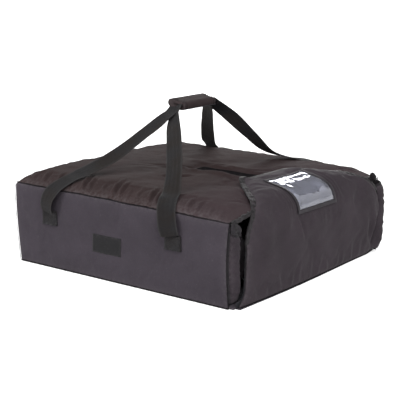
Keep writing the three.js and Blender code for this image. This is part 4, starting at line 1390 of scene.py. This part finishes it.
def make_tabs():
    half = WEBBING / 2
    for row, depth in TABS.items():
        for name, sign in (("left", -1), ("right", 1)):
            y, z = np.meshgrid(np.linspace(depth - half, depth + half, 15), np.linspace(86.5, 115, 13))
            face = side_face(y, z) + side_relief(y, z, 41 if sign < 0 else 47) * 0.9
            lift = 0.5 + 0.25 * ripple(y, z, 22, int(depth) % 97 + sign)
            fold = 0.9 * smooth((92 - z) / 2.0)
            round_edge = 0.8 * (np.abs(y - depth) / half) ** 8
            front = stacked(sign * (face + lift + 2.4 + fold - round_edge), y, z)
            back = stacked(sign * (face + lift * 0.5), y, z)
            piece = slab(f"strap_tab_{row}_{name}_cloth", front, back, TAB_CLOTH, "webbing",
                         stacked(y - depth, z))
            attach(piece, "bag")
            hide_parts(f"strap_tab_{row}_{name}")
            x = sign * (float(side_face(np.array(depth), np.array(100.0))) + 3.0)
            corners = ((-15, 91), (15, 91), (15, 111), (-15, 111), (-15, 91), (15, 111))
            box = [(depth + aside, high) for aside, high in corners]
            runs = []
            for k, ((y0, z0), (y1, z1)) in enumerate(zip(box[:-1], box[1:])):
                line = stacked(x, np.linspace(y0, y1, 12), np.linspace(z0, z1, 12))
                runs.append(stitch_run(f"run_{k}", line, np.array([float(sign), 0.0, 0.0])))
            stitches = joined(f"tab_stitches_{row}_{name}", runs)
            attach(stitches, "bag")


def wrap_section(outline, thick):
    """Closed ring of a curved sheet from its middle line, with rounded ends."""
    line, _ = resample(outline, 1.6)
    along = tangents(np.concatenate([line, np.zeros((len(line), 1))], 1))[:, :2]
    aside = stacked(-along[:, 1], along[:, 0])
    half = np.full(len(line), thick / 2)
    half[:2] *= (0.35, 0.8)
    half[-2:] *= (0.8, 0.35)
    return np.concatenate([line + aside * half[:, None], (line - aside * half[:, None])[::-1]])


def grip_points(x, spots):
    """Points of the hand wrap from a place along it and points of its section."""
    return stacked(grip_skew(x, spots[:, 0]), GRIP_Y + spots[:, 0], GRIP_Z + spots[:, 1])


def grip_sheet(name, outline, thick, half_length, seed):
    """A padded sheet wound along the hand wrap. outline is its section, measured from the wrap's middle."""
    ring = wrap_section(outline, thick)
    ends = np.linspace(-half_length, -half_length + 9, 9)
    xs = np.concatenate([ends, np.linspace(-half_length + 9, half_length - 9, 40)[1:-1], -ends[::-1]])
    length = run_of(ring)
    centre = ring.mean(0)
    sections = []
    for x in xs:
        from_end = half_length - abs(x)
        swell = 1.0 + 0.015 * math.cos(x / half_length * math.pi / 2)
        pinch = -0.012 * math.exp(-((from_end - 6.5) / 1.1) ** 2)
        rim_round = -0.02 * math.exp(-from_end / 0.9)
        wave = 0.25 * ripple(np.full(len(ring), x), length, 18, seed)
        spot = centre + (ring - centre) * (swell + pinch * 4 + rim_round)
        sections.append(grip_points(x, spot + unit(ring - centre) * (wave * smooth(from_end / 8))[:, None]))
    worn = np.stack([np.full(len(ring), math.exp(-(half_length - abs(x)) / 5)) for x in xs])
    return sweep(name, np.stack(sections), GRIP_CLOTH, "nylon", stacked(xs[:, None], length[None, :]), worn)


def make_grip():
    outline = [(-20.4, 2.0), (-10, 4.6), (0, 6.6), (10, 8.2), (17, 8.6), (20.6, 4.6), (20.6, -1),
               (17, -4.2), (8, -5.2), (-5, -5.4), (-20.4, -5.0)]
    wrap = grip_sheet("hand_wrap_pad", outline, 2.6, GRIP_HALF, 131)
    subdivide(wrap)
    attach(wrap, "grip")
    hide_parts("hand_wrap")
    closure = [(-12.0, 6.8), (-19.0, 4.8), (-23.2, 1.8), (-23.6, -3.5), (-21.4, -8.4), (-14, -9.6),
               (-3.5, -9.4)]
    piece = subdivide(grip_sheet("wrap_closure_flap", closure, 1.5, GRIP_HALF - 0.4, 133))
    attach(piece, "closure")
    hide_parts("wrap_closure")
    for name, line, body, off in (("wrap", outline, "grip", 1.45), ("closure", closure, "closure", 0.9)):
        section, _ = resample(line, 2.0)
        spots = section + unit(section - np.mean(outline, 0)) * off
        rows = [cord_tube(f"{name}_hem_{k}", grip_points(x, spots), 0.45, SEAM_CLOTH_SHADED, 0.1, k)
                for k, x in enumerate((1.2 - GRIP_HALF, 6.5 - GRIP_HALF, GRIP_HALF - 6.5))]
        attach(joined(name + "_hem_lines", rows), body)


def grip_skew(x, across):
    """The wrap's ends are cut aslant: shorter at its front edge."""
    right = (x / GRIP_HALF + 1) / 2
    front = np.clip((18 - across) / 38, 0, 1)
    return x + right * (1.0 - 11.0 * front) - (1 - right) * 3.0 * front


def make_patch():
    ys = np.linspace(PATCH_Y - PATCH_HALF, PATCH_Y + PATCH_HALF, 37)
    zs = np.linspace(PATCH_LOW, PATCH_HIGH, 19)
    y, z = np.meshgrid(ys, zs)
    face = side_face(y, z) + side_relief(y, z, 41)
    near = np.minimum(np.minimum(y - ys[0], ys[-1] - y), np.minimum(z - zs[0], zs[-1] - z))
    rim_height = 0.4 * np.exp(-((near - 1.4) / 1.1) ** 2)
    front = stacked(-(face + 0.9 + rim_height - 0.4 * np.exp(-near / 0.5)), y, z)
    piece = slab("side_patch_bare", front, stacked(-(face + 0.1), y, z), PATCH, "patch", stacked(y, z),
                 worn_near(near, 2))
    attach(piece, "bag")
    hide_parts("side_patch")


def dress(name, material):
    """A CAD node that keeps its own shape gets a finished material."""
    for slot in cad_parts[name].material_slots:
        slot.link = "OBJECT"
        slot.material = material


def dress_nodes():
    for name, material in (("strap_middle_rear", WEBBING_MIDDLE), ("strap_middle_front", WEBBING_MIDDLE),
                           ("wrap_loop_tape", LOOP_TAPE), ("wrap_hook_tape", HOOK_TAPE)):
        dress(name, material)


make_camera()
make_stage()
make_top()
make_sides()
make_back()
make_bottom()
make_seams()
make_mouth_bindings()
make_loop_tape()
make_wings()
make_flap()
make_flap_binding()
make_pocket()
make_hook_tape()
make_hinge_cloth()
make_tabs()
make_legs()
make_grip()
make_patch()
dress_nodes()

bpy.context.view_layer.update()
